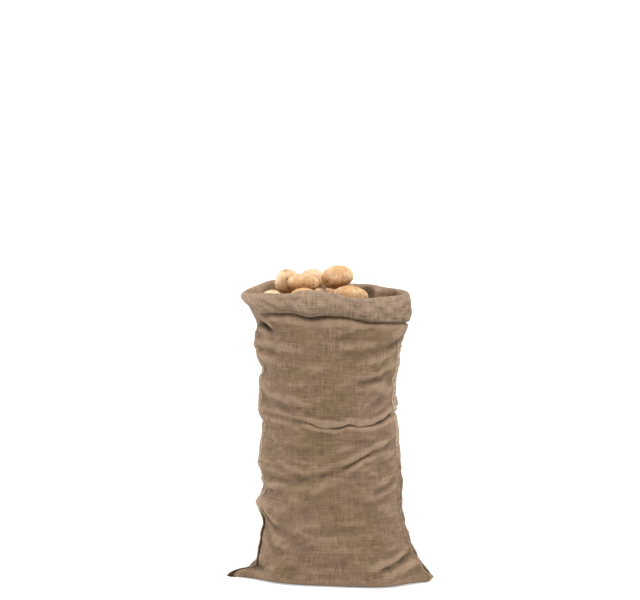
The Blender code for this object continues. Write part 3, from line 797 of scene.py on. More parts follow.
def wall(turn, level, offset=0.0, on_cuff=False, lips=True):
    """Points of the wall's outer face, moved outwards by offset, at turns and levels.

    The cuff has upright folds of its own, and no seam lips.
    """
    turn, level = np.broadcast_arrays(turn, level)
    left, right, front, back, roundness, forward = (
        smooth_curve(SECTIONS, i, level) for i in range(1, 7)
    )
    if on_cuff:
        out, down = ripples(turn, level, *CUFF_CRUMPLE), 0.0
    else:
        out, down = crease_push(turn, level)
        soft = small_folds(turn, level) + crumple(turn, level)
        out = out + soft * ease((TOP_LEVEL - level) / SMOOTH_AT_RIM)
        out = out + under_cuff(turn, level) * ease((RIM_LEVEL - level) / UNDER_CUFF_END)
    out = out + pucker_push(turn, level) + offset + upright_folds(turn, level, on_cuff)
    inset = BASE_ROUND * (1 - np.sqrt(1 - np.clip(1 - level / BASE_ROUND, 0, 1) ** 2))
    across, along = np.cos(turn), np.sin(turn)
    x = (np.where(across > 0, right, left) - inset + out) * np.sign(across)
    y = (np.where(along > 0, back, front) - inset + out) * np.sign(along)
    x = x * np.abs(across) ** roundness
    y = y * np.abs(along) ** roundness - forward * x
    for seam, reach, tip_back, ear_height, spread, bend, blunt, tip in EARS:
        off = between(turn, seam)
        share = np.clip(1 - (np.maximum(level - tip, 0) / ear_height) ** bend, 0, 1) ** blunt
        y = y + tip_back * share * bell(off, EAR_SWING * spread)
        pointed = np.exp((EAR_POINT - np.hypot(off, EAR_POINT)) / spread)
        x = x + np.sign(math.cos(seam)) * reach * share * pointed
    if lips and not on_cuff:
        lip_x, lip_y = seam_lips(turn, level)
        x, y = x + lip_x, y + lip_y
    return np.stack([x, y, np.maximum(level + rim_rise(turn, level) - down, 0)], axis=-1)


# The cloth's grid
def dense_steps(start, stop, count, weight):
    """count points from start to stop, closer together where weight is greater."""
    fine = np.linspace(start, stop, DENSE_SAMPLES)
    total = np.concatenate([[0], np.cumsum((weight(fine[1:]) + weight(fine[:-1])) / 2)])
    return np.interp(np.linspace(0, total[-1], count), total, fine)


def column_turns(panel_columns):
    """Turns of the cloth's columns, from the left seam's middle round the front."""
    close = np.linspace(-SEAM_HALF, SEAM_HALF, SEAM_COLUMNS) / GIRTH_RADIUS
    turns = []
    for seam, next_seam in ((LEFT_SEAM, 2 * math.pi + RIGHT_SEAM), (RIGHT_SEAM, LEFT_SEAM)):
        start, stop = seam + close[-1], next_seam + close[0]
        turns += list(seam + close)
        turns += list(np.linspace(start, stop, panel_columns + 2)[1:-1])
    return np.roll(turns, -(SEAM_COLUMNS // 2))


def wall_levels(count):
    """Levels of the cloth's rows, closer at the bottom edge and at the two deepest folds."""

    def weight(level):
        return 1 + sum(more * bell(level - middle, half) for middle, half, more in DENSE_LEVELS)

    return dense_steps(0, TOP_LEVEL, count, weight)


class Cloth:
    """The cloth's two faces as grids of points: rows run up the wall, over the rim and down the cuff.

    outer is the face outside on the wall and underneath on the cuff, and inner is the other one.
    """

    def __init__(self, panel_columns, wall_rows, thickness):
        self.turns = column_turns(panel_columns)
        self.levels = wall_levels(wall_rows)
        self.thickness = thickness
        self.outer = self.face(lips=True)
        plain = self.face(lips=False)
        self.inner = plain - grid_normals(plain) * thickness
        self.inner[:FLOOR_ROWS, :, 2] = np.maximum(self.inner[:FLOOR_ROWS, :, 2], thickness)
        self.inner[:, :, 2] = np.maximum(self.inner[:, :, 2], thickness / 4)
        low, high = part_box(SACK_NODE)
        shift = self.outline_middle() - np.array([(low.x + high.x) / 2, (low.y + high.y) / 2])
        for grid in (self.outer, self.inner):
            grid[:, :, :2] -= shift
        self.normals = grid_normals(self.outer)

    def outline_middle(self):
        """Middle of the sack's box before it is put in its place."""
        points = self.outer.reshape(-1, 3)
        return (points.min(axis=0)[:2] + points.max(axis=0)[:2]) / 2

    def face(self, lips):
        """Rows of points of one face: under the floor, up the wall, over the rim, down the cuff."""
        turns, levels = self.turns, self.levels
        rows = list(wall(turns[None, :], levels[:, None], lips=lips))
        edge = rows[0]
        fold_line = (edge + edge[-np.arange(len(edge))]) / 2
        floor = []
        for share in np.linspace(FLOOR_START, 1, FLOOR_ROWS, endpoint=False):
            row = fold_line + (edge - fold_line) * share
            floor.append(row * np.array([1 - FOLD_SHORT * (1 - share), 1, 1]))
        top = levels[-1]
        radius = ROLL - self.thickness / 2
        inside, outside = wall(turns, top), wall(turns, top, on_cuff=True)
        for angle in np.linspace(0, math.pi, ROLL_ROWS + 1)[1:]:
            push = wall(turns, top, radius * (1 - math.cos(angle))) - inside
            row = inside + (outside - inside) * angle / math.pi + push
            row[:, 2] += radius * math.sin(angle)
            rows.append(row)
        drop = top - cuff_edge_level(turns) - TUCK_RADIUS
        swell, stand = round_mouth(turns, 3), round_mouth(turns, 4)
        for share in np.linspace(0, 1, CUFF_ROWS + 1)[1:]:
            offset = 2 * radius + (stand - 2 * radius) * ease(share)
            offset = offset + swell * math.sin(math.pi * share)
            rows.append(wall(turns, top - drop * share, offset, on_cuff=True))
        for angle in np.linspace(0, TUCK_TURN, TUCK_ROWS + 1)[1:]:
            curl = TUCK_RADIUS * (1 - math.cos(angle))
            tucked = stand - curl * np.clip(stand / TUCK_RADIUS, 0, 1)
            lower = top - drop - TUCK_RADIUS * math.sin(angle)
            rows.append(wall(turns, lower, tucked, on_cuff=True))
        return np.array(floor + rows)

    def at(self, turn, level):
        """A point of the outer face and the way out from it, at one turn and level."""
        column = np.interp(
            (turn - self.turns[0]) % (2 * math.pi),
            np.append((self.turns - self.turns[0]) % (2 * math.pi), 2 * math.pi),
            np.arange(len(self.turns) + 1),
        )
        row = FLOOR_ROWS + np.interp(level, self.levels, np.arange(len(self.levels)))
        i, j = int(row), int(column)
        s, t = row - i, column - j
        j, k = j % len(self.turns), (j + 1) % len(self.turns)

        def blend(grid):
            low = grid[i, j] * (1 - t) + grid[i, k] * t
            high = grid[i + 1, j] * (1 - t) + grid[i + 1, k] * t
            return low * (1 - s) + high * s

        out = blend(self.normals)
        return blend(self.outer), out / np.linalg.norm(out)


@lru_cache
def cloth_grid(panel_columns, wall_rows, thickness):
    """The cloth of one set of sizes, worked out once."""
    return Cloth(panel_columns, wall_rows, thickness)


def grid_normals(points):
    """Unit normals of a grid of points whose columns close on themselves."""
    around = np.roll(points, -1, axis=1) - np.roll(points, 1, axis=1)
    along = np.gradient(points, axis=0)
    normals = np.cross(around, along)
    length = np.linalg.norm(normals, axis=2, keepdims=True)
    return normals / np.maximum(length, 1e-12)


def softened(field, times):
    """A grid's numbers after averaging each with its neighbours, times over."""
    for _ in range(times):
        field = (field + np.roll(field, 1, axis=1) + np.roll(field, -1, axis=1)) / 3
        padded = np.concatenate([field[:1], field, field[-1:]])
        field = (padded[:-2] + padded[1:-1] + padded[2:]) / 3
    return field


def sunken(points, normals, rounds):
    """How far below its surroundings each point of a face lies, in metres."""
    smooth = np.stack([softened(points[:, :, axis], rounds) for axis in range(3)], axis=-1)
    return softened(((smooth - points) * normals).sum(axis=2), 1)


def hollows(points, normals):
    """How hollow a face is at each point, from 0 on a sharp ridge to 1 in a deep crease."""
    return np.clip(0.5 + sunken(points, normals, HOLLOW_ROUNDS) / HOLLOW_DEPTH, 0, 1)


def holed(turns, levels):
    """Painted shade: 1 in the deepest creases of the wall and in the pocket, and 0 elsewhere."""
    turn, level = turns[None, :], levels[:, None]
    out, _ = crease_push(turn, level)
    where = np.degrees(turn) % 360
    height, half_height = (smooth_curve(POCKET_SHADOW, i, where) for i in (1, 2))
    inside = (where > POCKET_SHADOW[0][0]) & (where < POCKET_SHADOW[-1][0])
    shadow = inside * bell(level - height, np.maximum(half_height, POCKET_THIN))
    return np.maximum(ease((-out - HOLE_FROM) / HOLE_OVER), shadow)


def creased(points, normals):
    """Painted shade of a face: 1 in a narrow crease, less close to the ground and 0 elsewhere."""
    depth = sunken(points, normals, DEEP_ROUNDS)
    ground = GROUND_DARK * bell(np.maximum(points[:, :, 2] - GROUND_LEVEL, 0), GROUND_FADE)
    return np.maximum(1 - np.exp(-np.maximum(depth - DEEP_FROM, 0) / DEEP_FADE), ground)


# Meshes
def new_piece(name, points, faces, material):
    """A smooth mesh object, linked to the scene and riding on the sack's one body."""
    mesh = bpy.data.meshes.new(name)
    mesh.from_pydata([tuple(p) for p in points], [], faces)
    mesh.validate()
    mesh.shade_smooth()
    mesh.materials.append(material)
    piece = bpy.data.objects.new(name, mesh)
    bpy.context.scene.collection.objects.link(piece)
    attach(piece, "root")
    return piece


def put_values(mesh, name, values):
    """Stores a number for each point, which the materials read by name."""
    store = mesh.attributes.new(name, "FLOAT", "POINT")
    store.data.foreach_set("value", np.asarray(values, np.float32).ravel())


def box_corners(node):
    """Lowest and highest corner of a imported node's box."""
    return (np.array(corner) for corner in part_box(node))


def tube(path, radius, sides):
    """Points and faces of a closed round tube along a path, thinner at its two ends."""
    path = np.asarray(path, float)
    ahead = np.gradient(path, axis=0)
    ahead /= np.maximum(np.linalg.norm(ahead, axis=1, keepdims=True), 1e-12)
    aside = np.cross(ahead, TUBE_SIDEWAYS)
    aside /= np.maximum(np.linalg.norm(aside, axis=1, keepdims=True), 1e-12)
    other = np.cross(ahead, aside)
    share = np.linspace(-1, 1, len(path))
    widths = radius * np.sqrt(np.clip(1 - TUBE_TAPER * share**TUBE_TAPER_POWER, TUBE_TIP, 1))
    points, faces = [], []
    for centre, u, v, width in zip(path, aside, other, widths, strict=True):
        for k in range(sides):
            angle = 2 * math.pi * k / sides
            points.append(centre + width * (math.cos(angle) * u + math.sin(angle) * v))
    for i in range(len(path) - 1):
        for k in range(sides):
            a, b = i * sides + k, i * sides + (k + 1) % sides
            faces.append((a, b, b + sides, a + sides))
    last = (len(path) - 1) * sides
    faces.append(tuple(reversed(range(sides))))
    faces.append(tuple(range(last, last + sides)))
    return points, faces


def joined(parts):
    """Joins lists of points and faces into one of each."""
    points, faces = [], []
    for part_points, part_faces in parts:
        start = len(points)
        points += list(part_points)
        faces += [tuple(start + corner for corner in face) for face in part_faces]
    return points, faces


# Materials
class Graph:
    """Short calls that add shader nodes to a new material and join them."""

    def __init__(self, name, roughness):
        self.material = bpy.data.materials.new(name)
        self.material.use_nodes = True
        self.nodes = self.material.node_tree.nodes
        self.links = self.material.node_tree.links
        self.shader = self.nodes["Principled BSDF"]
        self.shader.inputs["Roughness"].default_value = roughness

    def put(self, socket, value):
        """Joins a socket to another, or sets its value."""
        if isinstance(value, bpy.types.NodeSocket):
            self.links.new(value, socket)
        else:
            socket.default_value = value

    def math(self, operation, *values, clamp=False):
        """One Math node."""
        node = self.nodes.new("ShaderNodeMath")
        node.operation = operation
        node.use_clamp = clamp
        for socket, value in zip(node.inputs, values, strict=False):
            self.put(socket, value)
        return node.outputs[0]

    def times(self, first, second):
        """Product of two numbers."""
        return self.math("MULTIPLY", first, second)

    def line(self, value, slope, start):
        """A value times slope, plus start."""
        return self.math("MULTIPLY_ADD", value, slope, start)

    def vector(self, x=0.0, y=0.0, z=0.0):
        """Three numbers as a vector or a colour."""
        node = self.nodes.new("ShaderNodeCombineXYZ")
        for socket, value in zip(node.inputs, (x, y, z), strict=True):
            self.put(socket, value)
        return node.outputs[0]

    def split(self, vector):
        """The three numbers of a vector."""
        node = self.nodes.new("ShaderNodeSeparateXYZ")
        self.put(node.inputs[0], vector)
        return node.outputs

    def noise(self, vector, scale, detail=2.0, roughness=0.5):
        """Smooth noise, about 0.3 to 0.7."""
        node = self.nodes.new("ShaderNodeTexNoise")
        self.put(node.inputs["Vector"], vector)
        node.inputs["Scale"].default_value = scale
        node.inputs["Detail"].default_value = detail
        node.inputs["Roughness"].default_value = roughness
        return node.outputs["Fac"]

    def spots(self, vector, scale, randomness=1.0):
        """Distance to the nearest of scattered points."""
        node = self.nodes.new("ShaderNodeTexVoronoi")
        self.put(node.inputs["Vector"], vector)
        node.inputs["Scale"].default_value = scale
        node.inputs["Randomness"].default_value = randomness
        return node.outputs["Distance"]

    def spread(self, value, low, high, to_low=0.0, to_high=1.0):
        """A soft step from to_low to to_high."""
        node = self.nodes.new("ShaderNodeMapRange")
        node.interpolation_type = "SMOOTHSTEP"
        for socket, number in zip(node.inputs, (value, low, high, to_low, to_high), strict=False):
            self.put(socket, number)
        return node.outputs[0]

    def mix(self, share, first, second, blend="MIX"):
        """Two colours mixed, or blended another way."""
        node = self.nodes.new("ShaderNodeMix")
        node.data_type = "RGBA"
        node.blend_type = blend
        self.put(node.inputs[0], share)
        self.put(node.inputs[6], first)
        self.put(node.inputs[7], second)
        return node.outputs[2]

    def attribute(self, name):
        """A number stored on the mesh."""
        node = self.nodes.new("ShaderNodeAttribute")
        node.attribute_name = name
        return node.outputs["Fac"]

    def place(self, output):
        """A texture coordinate."""
        return self.nodes.new("ShaderNodeTexCoord").outputs[output]

    def bump(self, height, distance, strength=1.0, normal=None):
        """Normals of a height, over others."""
        node = self.nodes.new("ShaderNodeBump")
        node.inputs["Strength"].default_value = strength
        node.inputs["Distance"].default_value = distance
        self.put(node.inputs["Height"], height)
        if normal is not None:
            self.put(node.inputs["Normal"], normal)
        return node.outputs[0]

    def finish(self, colour, normal):
        """Joins the colour and the normals, and gives the material."""
        self.put(self.shader.inputs["Base Color"], colour)
        self.put(self.shader.inputs["Normal"], normal)
        return self.material


def streaks(g, across, along, fine, long, detail, seed):
    """Noise drawn out along the cloth: fine and long are its scales across and along the yarns."""
    place = g.vector(g.times(across, fine), g.times(along, long), seed)
    return g.noise(place, 1.0, detail, STREAK_ROUGHNESS)


def yarn_wave(g, across, along, pitch, seed):
    """A sine across the cloth, half a wave for each yarn, that wanders a little."""
    wander = g.math("SUBTRACT", g.noise(g.vector(across, along, seed), DRIFT_SCALE, 2), 0.5)
    place = g.math("ADD", across, g.times(wander, YARN_DRIFT))
    return g.math("SINE", g.times(place, math.pi / pitch))


def yarn_height(g, wave, other_wave, width, side):
    """Height of one set of yarns: round across, and over or under the other set by turns."""
    section = g.times(g.math("POWER", g.math("ABSOLUTE", wave), YARN_ROUND), width)
    over = g.times(g.math("SIGN", wave), other_wave)
    return g.times(section, g.line(over, side * YARN_OVER, YARN_MIDDLE))


def weave_height(g, around, up, pitch):
    """Height of the plain weave, the greater of its upright and its level yarns."""
    wave_x, wave_y = yarn_wave(g, around, up, pitch, 0.0), yarn_wave(g, up, around, pitch, 4.7)
    width_x, width_y = (
        g.spread(streaks(g, across, along, 1 / pitch, 11, 1, seed), 0.3, 0.7, *YARN_WIDTHS)
        for across, along, seed in ((around, up, 2.3), (up, around, 7.9))
    )
    high_x = yarn_height(g, wave_x, wave_y, width_x, 1)
    high_y = yarn_height(g, wave_y, wave_x, width_y, -1)
    return g.math("MAXIMUM", high_x, high_y)


def yarn_tone(g, around, up):
    """How pale each bit of yarn is: short fibres, with long dark and pale yarns under them."""
    short, long = (
        g.math("ADD", streaks(g, around, up, *upright), streaks(g, up, around, *level))
        for upright, level in (
            ((300, 34, 2, 1.1), (300, 34, 2, 5.3)),
            ((150, 8, 2, 12.4), (150, 8, 2, 15.1)),
        )
    )
    return g.spread(g.line(long, 0.55, short), 1.15, 1.95)


def hessian_colour(g, settings, around, up, tone, height):
    """Colour of the cloth: yarns and patches, then painted shade in hollows and painted light on ridges,
    which are partly worn too, painted highlights on the seam edges and painted shadows.
    """
    turned, hollow, deep = (g.attribute(name) for name in ("turned", "hollow", "deep"))
    patch = g.spread(g.noise(g.vector(around, up), 6.5, 3, 0.6), 0.36, 0.66)
    colour = g.mix(patch, (*settings.warm_yarn, 1), (*settings.cool_yarn, 1))
    # the turned face's paler colour: its own colour and partly painted light from above on the cuff
    colour = g.mix(g.times(turned, 0.8), colour, (*settings.turned_yarn, 1))

    mottle = g.noise(g.vector(around, up, 9.0), 30, 3, 0.6)
    clear = g.spread(g.noise(g.vector(around, up, 31.0), 11, 2), 0.36, 0.66, 0.50, 1.0)
    contrast = g.times(g.line(turned, 0.30, clear), settings.thread_contrast)
    shade = g.line(g.math("SUBTRACT", tone, 0.5), contrast, 1.0)
    shade = g.times(shade, g.line(mottle, 0.12, 0.94))
    shade = g.times(shade, g.spread(height, 0.05, 0.62, 0.50, 1.10))
    # painted shade in hollows and painted light on ridges, from how hollow the face is
    shade = g.times(shade, g.line(hollow, -0.70, 1.35))
    colour = g.mix(1.0, colour, g.vector(shade, shade, shade), "MULTIPLY")

    # paler yarn on ridges: partly wear, partly a painted highlight
    worn_and_highlit = g.spread(hollow, 0.45, 0.15, 0.0, 0.30)
    colour = g.mix(worn_and_highlit, colour, (*settings.pale_yarn, 1))
    # painted highlight on the seams' edges, which are partly rubbed too
    colour = g.mix(g.times(g.attribute("crest"), 0.85), colour, (*settings.edge_yarn, 1))
    # painted shadow, warm brown, in creases, the pocket, the seams' gaps and near the ground
    shadow = g.vector(*(g.line(deep, -share, 1.0) for share in DEEP_SHADOW))
    return g.mix(1.0, colour, shadow, "MULTIPLY")


def hessian_material(settings):
    """Plain weave of uneven jute yarns, read from the cloth's own lengths round and up."""
    g = Graph("hessian_weave", 0.88)
    cloth = g.nodes.new("ShaderNodeUVMap")
    cloth.uv_map = "cloth"
    around, up, _ = g.split(cloth.outputs[0])
    height = weave_height(g, around, up, settings.yarn_pitch)
    tone = yarn_tone(g, around, up)
    colour = hessian_colour(g, settings, around, up, tone, height)
    soft = g.noise(g.vector(around, g.times(up, 2.2), 3.0), 55, 3, 0.55)
    normal = g.bump(soft, 0.0016, 0.6)
    normal = g.bump(tone, 0.0005, 0.6, normal)
    normal = g.bump(height, 0.0007, 0.9, normal)
    g.shader.inputs["Specular IOR Level"].default_value = 0.25
    g.shader.inputs["Sheen Weight"].default_value = 0.40
    g.shader.inputs["Sheen Roughness"].default_value = 0.45
    g.shader.inputs["Sheen Tint"].default_value = (*settings.pale_yarn, 1)
    return g.finish(colour, normal)


def twine_material(settings):
    """Two-ply jute twine of the seams, paler than the cloth, with its twist in the bump."""
    g = Graph("jute_twine", 0.82)
    place = g.place("Object")
    x, y, z = g.split(place)
    along = g.math("ADD", g.math("ADD", x, y), g.times(z, 1.7))
    twist = g.math("SINE", g.times(along, 3600))
    tone = g.noise(place, 160, 3, 0.6)
    colour = g.mix(g.spread(tone, 0.3, 0.7), (*settings.cool_yarn, 1), (*settings.pale_yarn, 1))
    normal = g.bump(g.math("ADD", g.times(twist, 0.5), tone), 0.0003, 0.8)
    g.shader.inputs["Specular IOR Level"].default_value = 0.25
    g.shader.inputs["Sheen Weight"].default_value = 0.2
    return g.finish(colour, normal)


def bent_place(g, place):
    """The place moved about by noise, so that what is read there has ragged edges."""
    bent = g.nodes.new("ShaderNodeVectorMath")
    bent.operation = "MULTIPLY_ADD"
    g.put(bent.inputs[0], g.vector(g.noise(place, 60, 2), g.noise(place, 71, 2), g.noise(place, 83, 2)))
    bent.inputs[1].default_value = (0.012, 0.012, 0.012)
    g.put(bent.inputs[2], place)
    return bent.outputs[0]


def potato_material(settings):
    """Dry potato skin: pale yellow and peach patches, russet netting, lenticels and dark eyes, with
    painted shade where potatoes touch, underneath and low down.
    """
    g = Graph("potato_peel", 0.58)
    place = g.place("Object")
    ragged = bent_place(g, place)
    tint, near = g.attribute("tint"), g.attribute("near")
    blotch = g.spread(g.line(tint, 0.22, g.noise(ragged, 26, 3, 0.6)), 0.42, 0.72)
    colour = g.mix(blotch, (*settings.pale_skin, 1), (*settings.warm_skin, 1))
    russet = g.spread(g.line(tint, 0.16, g.noise(ragged, 105, 5, 0.75)), 0.53, 0.72)
    russet = g.times(russet, g.spread(g.noise(place, 30, 2), 0.34, 0.60))
    colour = g.mix(g.times(russet, 0.55), colour, (*settings.russet_skin, 1))
    dots = g.spread(g.spots(ragged, 120), 0.12, 0.30, 1.0, 0.0)
    dots = g.times(dots, g.spread(g.noise(place, 45, 2), 0.36, 0.60))
    colour = g.mix(g.times(dots, 0.50), colour, (*settings.russet_skin, 1))
    soil = g.spread(g.noise(ragged, 42, 4, 0.65), 0.58, 0.80, 0.0, 0.25)
    colour = g.mix(soil, colour, (*settings.soil, 1))
    # painted shade from the near attribute: where potatoes touch, underneath and low down
    colour = g.mix(g.times(near, 0.85), colour, (*settings.shaded_skin, 1))
    colour = g.mix(g.spread(near, 0.60, 1.0, 0.0, 0.95), colour, (*settings.soil, 1))
    eye = g.math("MULTIPLY", g.attribute("eye"), 0.8, clamp=True)
    colour = g.mix(eye, colour, (*settings.soil, 1))
    grain = g.noise(place, 420, 3, 0.6)
    height = g.math("SUBTRACT", russet, g.times(dots, 0.6))
    height = g.math("ADD", g.times(grain, 0.5), height)
    rough = g.spread(g.math("ADD", russet, grain), 0.3, 1.3, 0.48, 0.78)
    g.put(g.shader.inputs["Roughness"], rough)
    g.shader.inputs["Specular IOR Level"].default_value = 0.35
    g.shader.inputs["Subsurface Weight"].default_value = 0.06
    g.shader.inputs["Subsurface Scale"].default_value = 0.01
    return g.finish(colour, g.bump(height, 0.0006, 0.6))


def floor_material(settings):
    """Matt studio paper with the faintest unevenness."""
    g = Graph("studio_floor", 0.95)
    tone = g.noise(g.place("Object"), 0.9, 2)
    shade = g.line(tone, FLOOR_UNEVEN, settings.floor_tone)
    g.shader.inputs["Specular IOR Level"].default_value = 0.0
    g.shader.inputs["Emission Color"].default_value = (1, 1, 1, 1)
    g.shader.inputs["Emission Strength"].default_value = settings.floor_glow
    return g.finish(g.vector(shade, shade, shade), g.bump(tone, 0.0002, 0.1))


# The pieces of the sack
def current_cloth():
    """The cloth of the sizes that the panel shows."""
    settings = bpy.context.scene.sack_cloth
    return cloth_grid(settings.panel_columns, settings.wall_rows, settings.thickness)


def grid_faces(rows, columns, first, flip):
    """Quads between the rows of a grid whose columns close on themselves."""
    faces = []
    for i in range(rows - 1):
        for j in range(columns):
            a, b = first + i * columns + j, first + i * columns + (j + 1) % columns
            quad = (a, b, b + columns, a + columns)
            faces.append(quad[::-1] if flip else quad)
    return faces


def floor_faces(columns, first, flip):
    """Faces across the fold line under the sack, from its front columns to its back ones."""
    faces = []
    for i in range(columns // 2):
        corners = (i, i + 1, -(i + 1) % columns, -i % columns)
        corners = tuple(first + c for c in dict.fromkeys(corners))
        faces.append(corners[::-1] if flip else corners)
    return faces


def cloth_lengths(cloth):
    """How far each column lies round the cloth and each row up it, in metres of the flat cut."""
    waist = wall(cloth.turns, 0.4, lips=False)
    steps = np.linalg.norm(np.roll(waist, -1, axis=0) - waist, axis=1)
    around = np.concatenate([[0], np.cumsum(steps)]) * 2 * CUT_WIDTH / steps.sum()
    grid = cloth.inner
    rises = np.linalg.norm(np.diff(grid, axis=0), axis=2).mean(axis=1)
    up = np.concatenate([[0], np.cumsum(rises)])
    up[FLOOR_ROWS:FLOOR_ROWS + len(cloth.levels)] = up[FLOOR_ROWS] + cloth.levels
    above = FLOOR_ROWS + len(cloth.levels)
    up[above:] = up[above - 1] + np.cumsum(rises[above - 1:])
    return around, up


def cloth_faces(rows, columns):
    """Faces of the sheet: outer and inner, each closed under the floor, joined at the cuff's edge."""
    inner = rows * columns
    faces = grid_faces(rows, columns, 0, False) + floor_faces(columns, 0, True)
    faces += grid_faces(rows, columns, inner, True) + floor_faces(columns, inner, False)
    for j in range(columns):
        k = (j + 1) % columns
        edge, inner_edge = inner - columns, 2 * inner - columns
        faces.append((edge + j, edge + k, inner_edge + k, inner_edge + j))
    return faces


def put_lengths(mesh, cloth, rows, columns):
    """Stores the cloth's own lengths round and up as the mesh's texture coordinates."""
    around, up = cloth_lengths(cloth)
    corners = np.zeros(len(mesh.loops), int)
    mesh.loops.foreach_get("vertex_index", corners)
    u = around[corners % columns]
    v = up[(corners // columns) % rows]
    starts = np.zeros(len(mesh.polygons), int)
    totals = np.zeros(len(mesh.polygons), int)
    mesh.polygons.foreach_get("loop_start", starts)
    mesh.polygons.foreach_get("loop_total", totals)
    face_of = np.repeat(np.arange(len(starts)), totals)
    widest = np.zeros(len(starts))
    np.maximum.at(widest, face_of, u)
    u = np.where((u == 0) & (widest[face_of] > CUT_WIDTH), around[-1], u)
    lengths = mesh.uv_layers.new(name="cloth")
    lengths.data.foreach_set("uv", np.stack([u, v], axis=1).astype(np.float32).ravel())


def painted_rim_light(rows, wall_rows):
    """How much painted light lifts each row of the face turned out at the cuff: some inside the mouth,
    most as a painted highlight on the rolled rim.
    """
    row = np.arange(rows)[:, None] - FLOOR_ROWS - wall_rows
    middle = RIM_HIGHLIGHT_AT * ROLL_ROWS
    return np.where(row < 0, INSIDE_LIGHTER, 0) + RIM_HIGHLIGHT * bell(row - middle, middle)


def put_shades(mesh, cloth):
    """Stores how hollow each point of both faces is, which sets its painted shade and painted light, how
    dark its painted shade is, the painted highlight on the seams' edges and which face is turned out.
    """
    rows = len(cloth.outer)
    inner_normals = -grid_normals(cloth.inner)
    wall_rows = slice(FLOOR_ROWS, FLOOR_ROWS + len(cloth.levels))
    dark, worn_and_highlit, near = seam_marks(cloth.turns[None, :], cloth.levels[:, None])

    hollow = hollows(cloth.outer, cloth.normals)
    # the seams' edges take their painted highlight instead of the hollows' painted shade
    hollow[wall_rows] *= 1 - worn_and_highlit
    # painted light inside the mouth and a painted highlight on the rolled rim
    inner_hollow = hollows(cloth.inner, inner_normals) - painted_rim_light(rows, len(cloth.levels))
    inner_hollow = np.clip(inner_hollow, 0, 1)
    # painted shade on the cuff's edge where it curls under
    inner_hollow[-TUCK_ROWS:] = np.maximum(inner_hollow[-TUCK_ROWS:], EDGE_SHADE)

    # painted shade in narrow creases, near the ground, in deep creases, in the pocket and in the seams'
    # gaps
    deep = creased(cloth.outer, cloth.normals)
    deep[wall_rows] = np.maximum(deep[wall_rows] * (1 - near), holed(cloth.turns, cloth.levels))
    deep[wall_rows] = np.maximum(deep[wall_rows], dark) * (1 - worn_and_highlit)
    inner_deep = softened(creased(cloth.inner, inner_normals), INSIDE_ROUNDS)
    inner_deep[: wall_rows.stop] *= INSIDE_DARK

    plain = np.zeros_like(hollow)
    crest = np.zeros_like(hollow)
    # the painted highlight on the seams' edges
    crest[wall_rows] = worn_and_highlit
    # less of that paler colour at the cuff's right, where the right light already brightens it
    grey = GREY_END * bell(between(cloth.turns, GREY_AT), GREY_HALF)
    turned = np.broadcast_to(1 - grey, hollow.shape)
    put_values(mesh, "crest", np.concatenate([crest, plain]))
    put_values(mesh, "hollow", np.concatenate([hollow, inner_hollow]))
    put_values(mesh, "deep", np.concatenate([deep, inner_deep]))
    put_values(mesh, "turned", np.concatenate([plain, turned]))


def make_cloth(material):
    """The sack's one sheet: outer and inner faces, joined along the cuff's lower edge."""
    cloth = current_cloth()
    rows, columns = cloth.outer.shape[:2]
    points = np.concatenate([cloth.outer.reshape(-1, 3), cloth.inner.reshape(-1, 3)])
    piece = new_piece("sack_cloth", points, cloth_faces(rows, columns), material)
    put_lengths(piece.data, cloth, rows, columns)
    put_shades(piece.data, cloth)
    return piece


def stitch_path(cloth, seam, level, slant, settings):
    """Points of one stitch over the two edges of a seam, from in front of it to behind it."""
    path = []
    for share, place in zip(np.linspace(0, 1, len(STITCH_ACROSS)), STITCH_ACROSS, strict=True):
        point, out = cloth.at(seam + place / GIRTH_RADIUS, level + slant * share)
        path.append(point + out * STITCH_LIFT * settings.twine_width)
    path = np.array(path)
    path[:, 2] = np.maximum(path[:, 2], settings.twine_width)
    middle = len(path) // 2
    path[middle] = (path[middle - 1] + path[middle + 1]) / 2 + GROOVE_LIFT
    fine = np.linspace(0, len(path) - 1, STITCH_POINTS)
    return np.stack([np.interp(fine, np.arange(len(path)), path[:, k]) for k in range(3)], 1)


def make_stitches(name, seam, settings, material):
    """Overhand stitches of twine that bind the two edges of a side seam."""
    cloth = current_cloth()
    random = np.random.default_rng(LEFT_STITCH_SEED if seam == LEFT_SEAM else RIGHT_STITCH_SEED)
    parts = []
    level = STITCH_FROM
    while level < SEAM_TOP:
        slant = settings.stitch_step * random.uniform(*STITCH_SLANT)
        path = stitch_path(cloth, seam, level, slant, settings)
        radius = settings.twine_width / 2 * random.uniform(*TWINE_WIDTHS)
        parts.append(tube(path, radius, TWINE_SIDES))
        level += settings.stitch_step * random.uniform(*STITCH_STEPS)
    points, faces = joined(parts)
    piece = new_piece(name, points, faces, material)
    return piece


def fibre_root(cloth, inner_normals, random):
    """A place for a loose fibre, and the way out from the cloth there."""
    rows, columns = cloth.inner.shape[:2]
    kind = random.random()
    if kind < SEAM_FIBRES:
        seam = (LEFT_SEAM, RIGHT_SEAM)[random.integers(2)]
        turn = seam + random.normal(0, FIBRE_SCATTER) / GIRTH_RADIUS
        return cloth.at(turn, random.uniform(*FIBRE_LEVELS))
    if kind < SEAM_FIBRES + WALL_FIBRES:
        return cloth.at(random.uniform(0, 2 * math.pi), random.uniform(*WALL_FIBRE_LEVELS))
    row = random.integers(rows - CUFF_ROWS - TUCK_ROWS - ROLL_ROWS, rows)
    column = random.integers(columns)
    return cloth.inner[row, column], inner_normals[row, column]


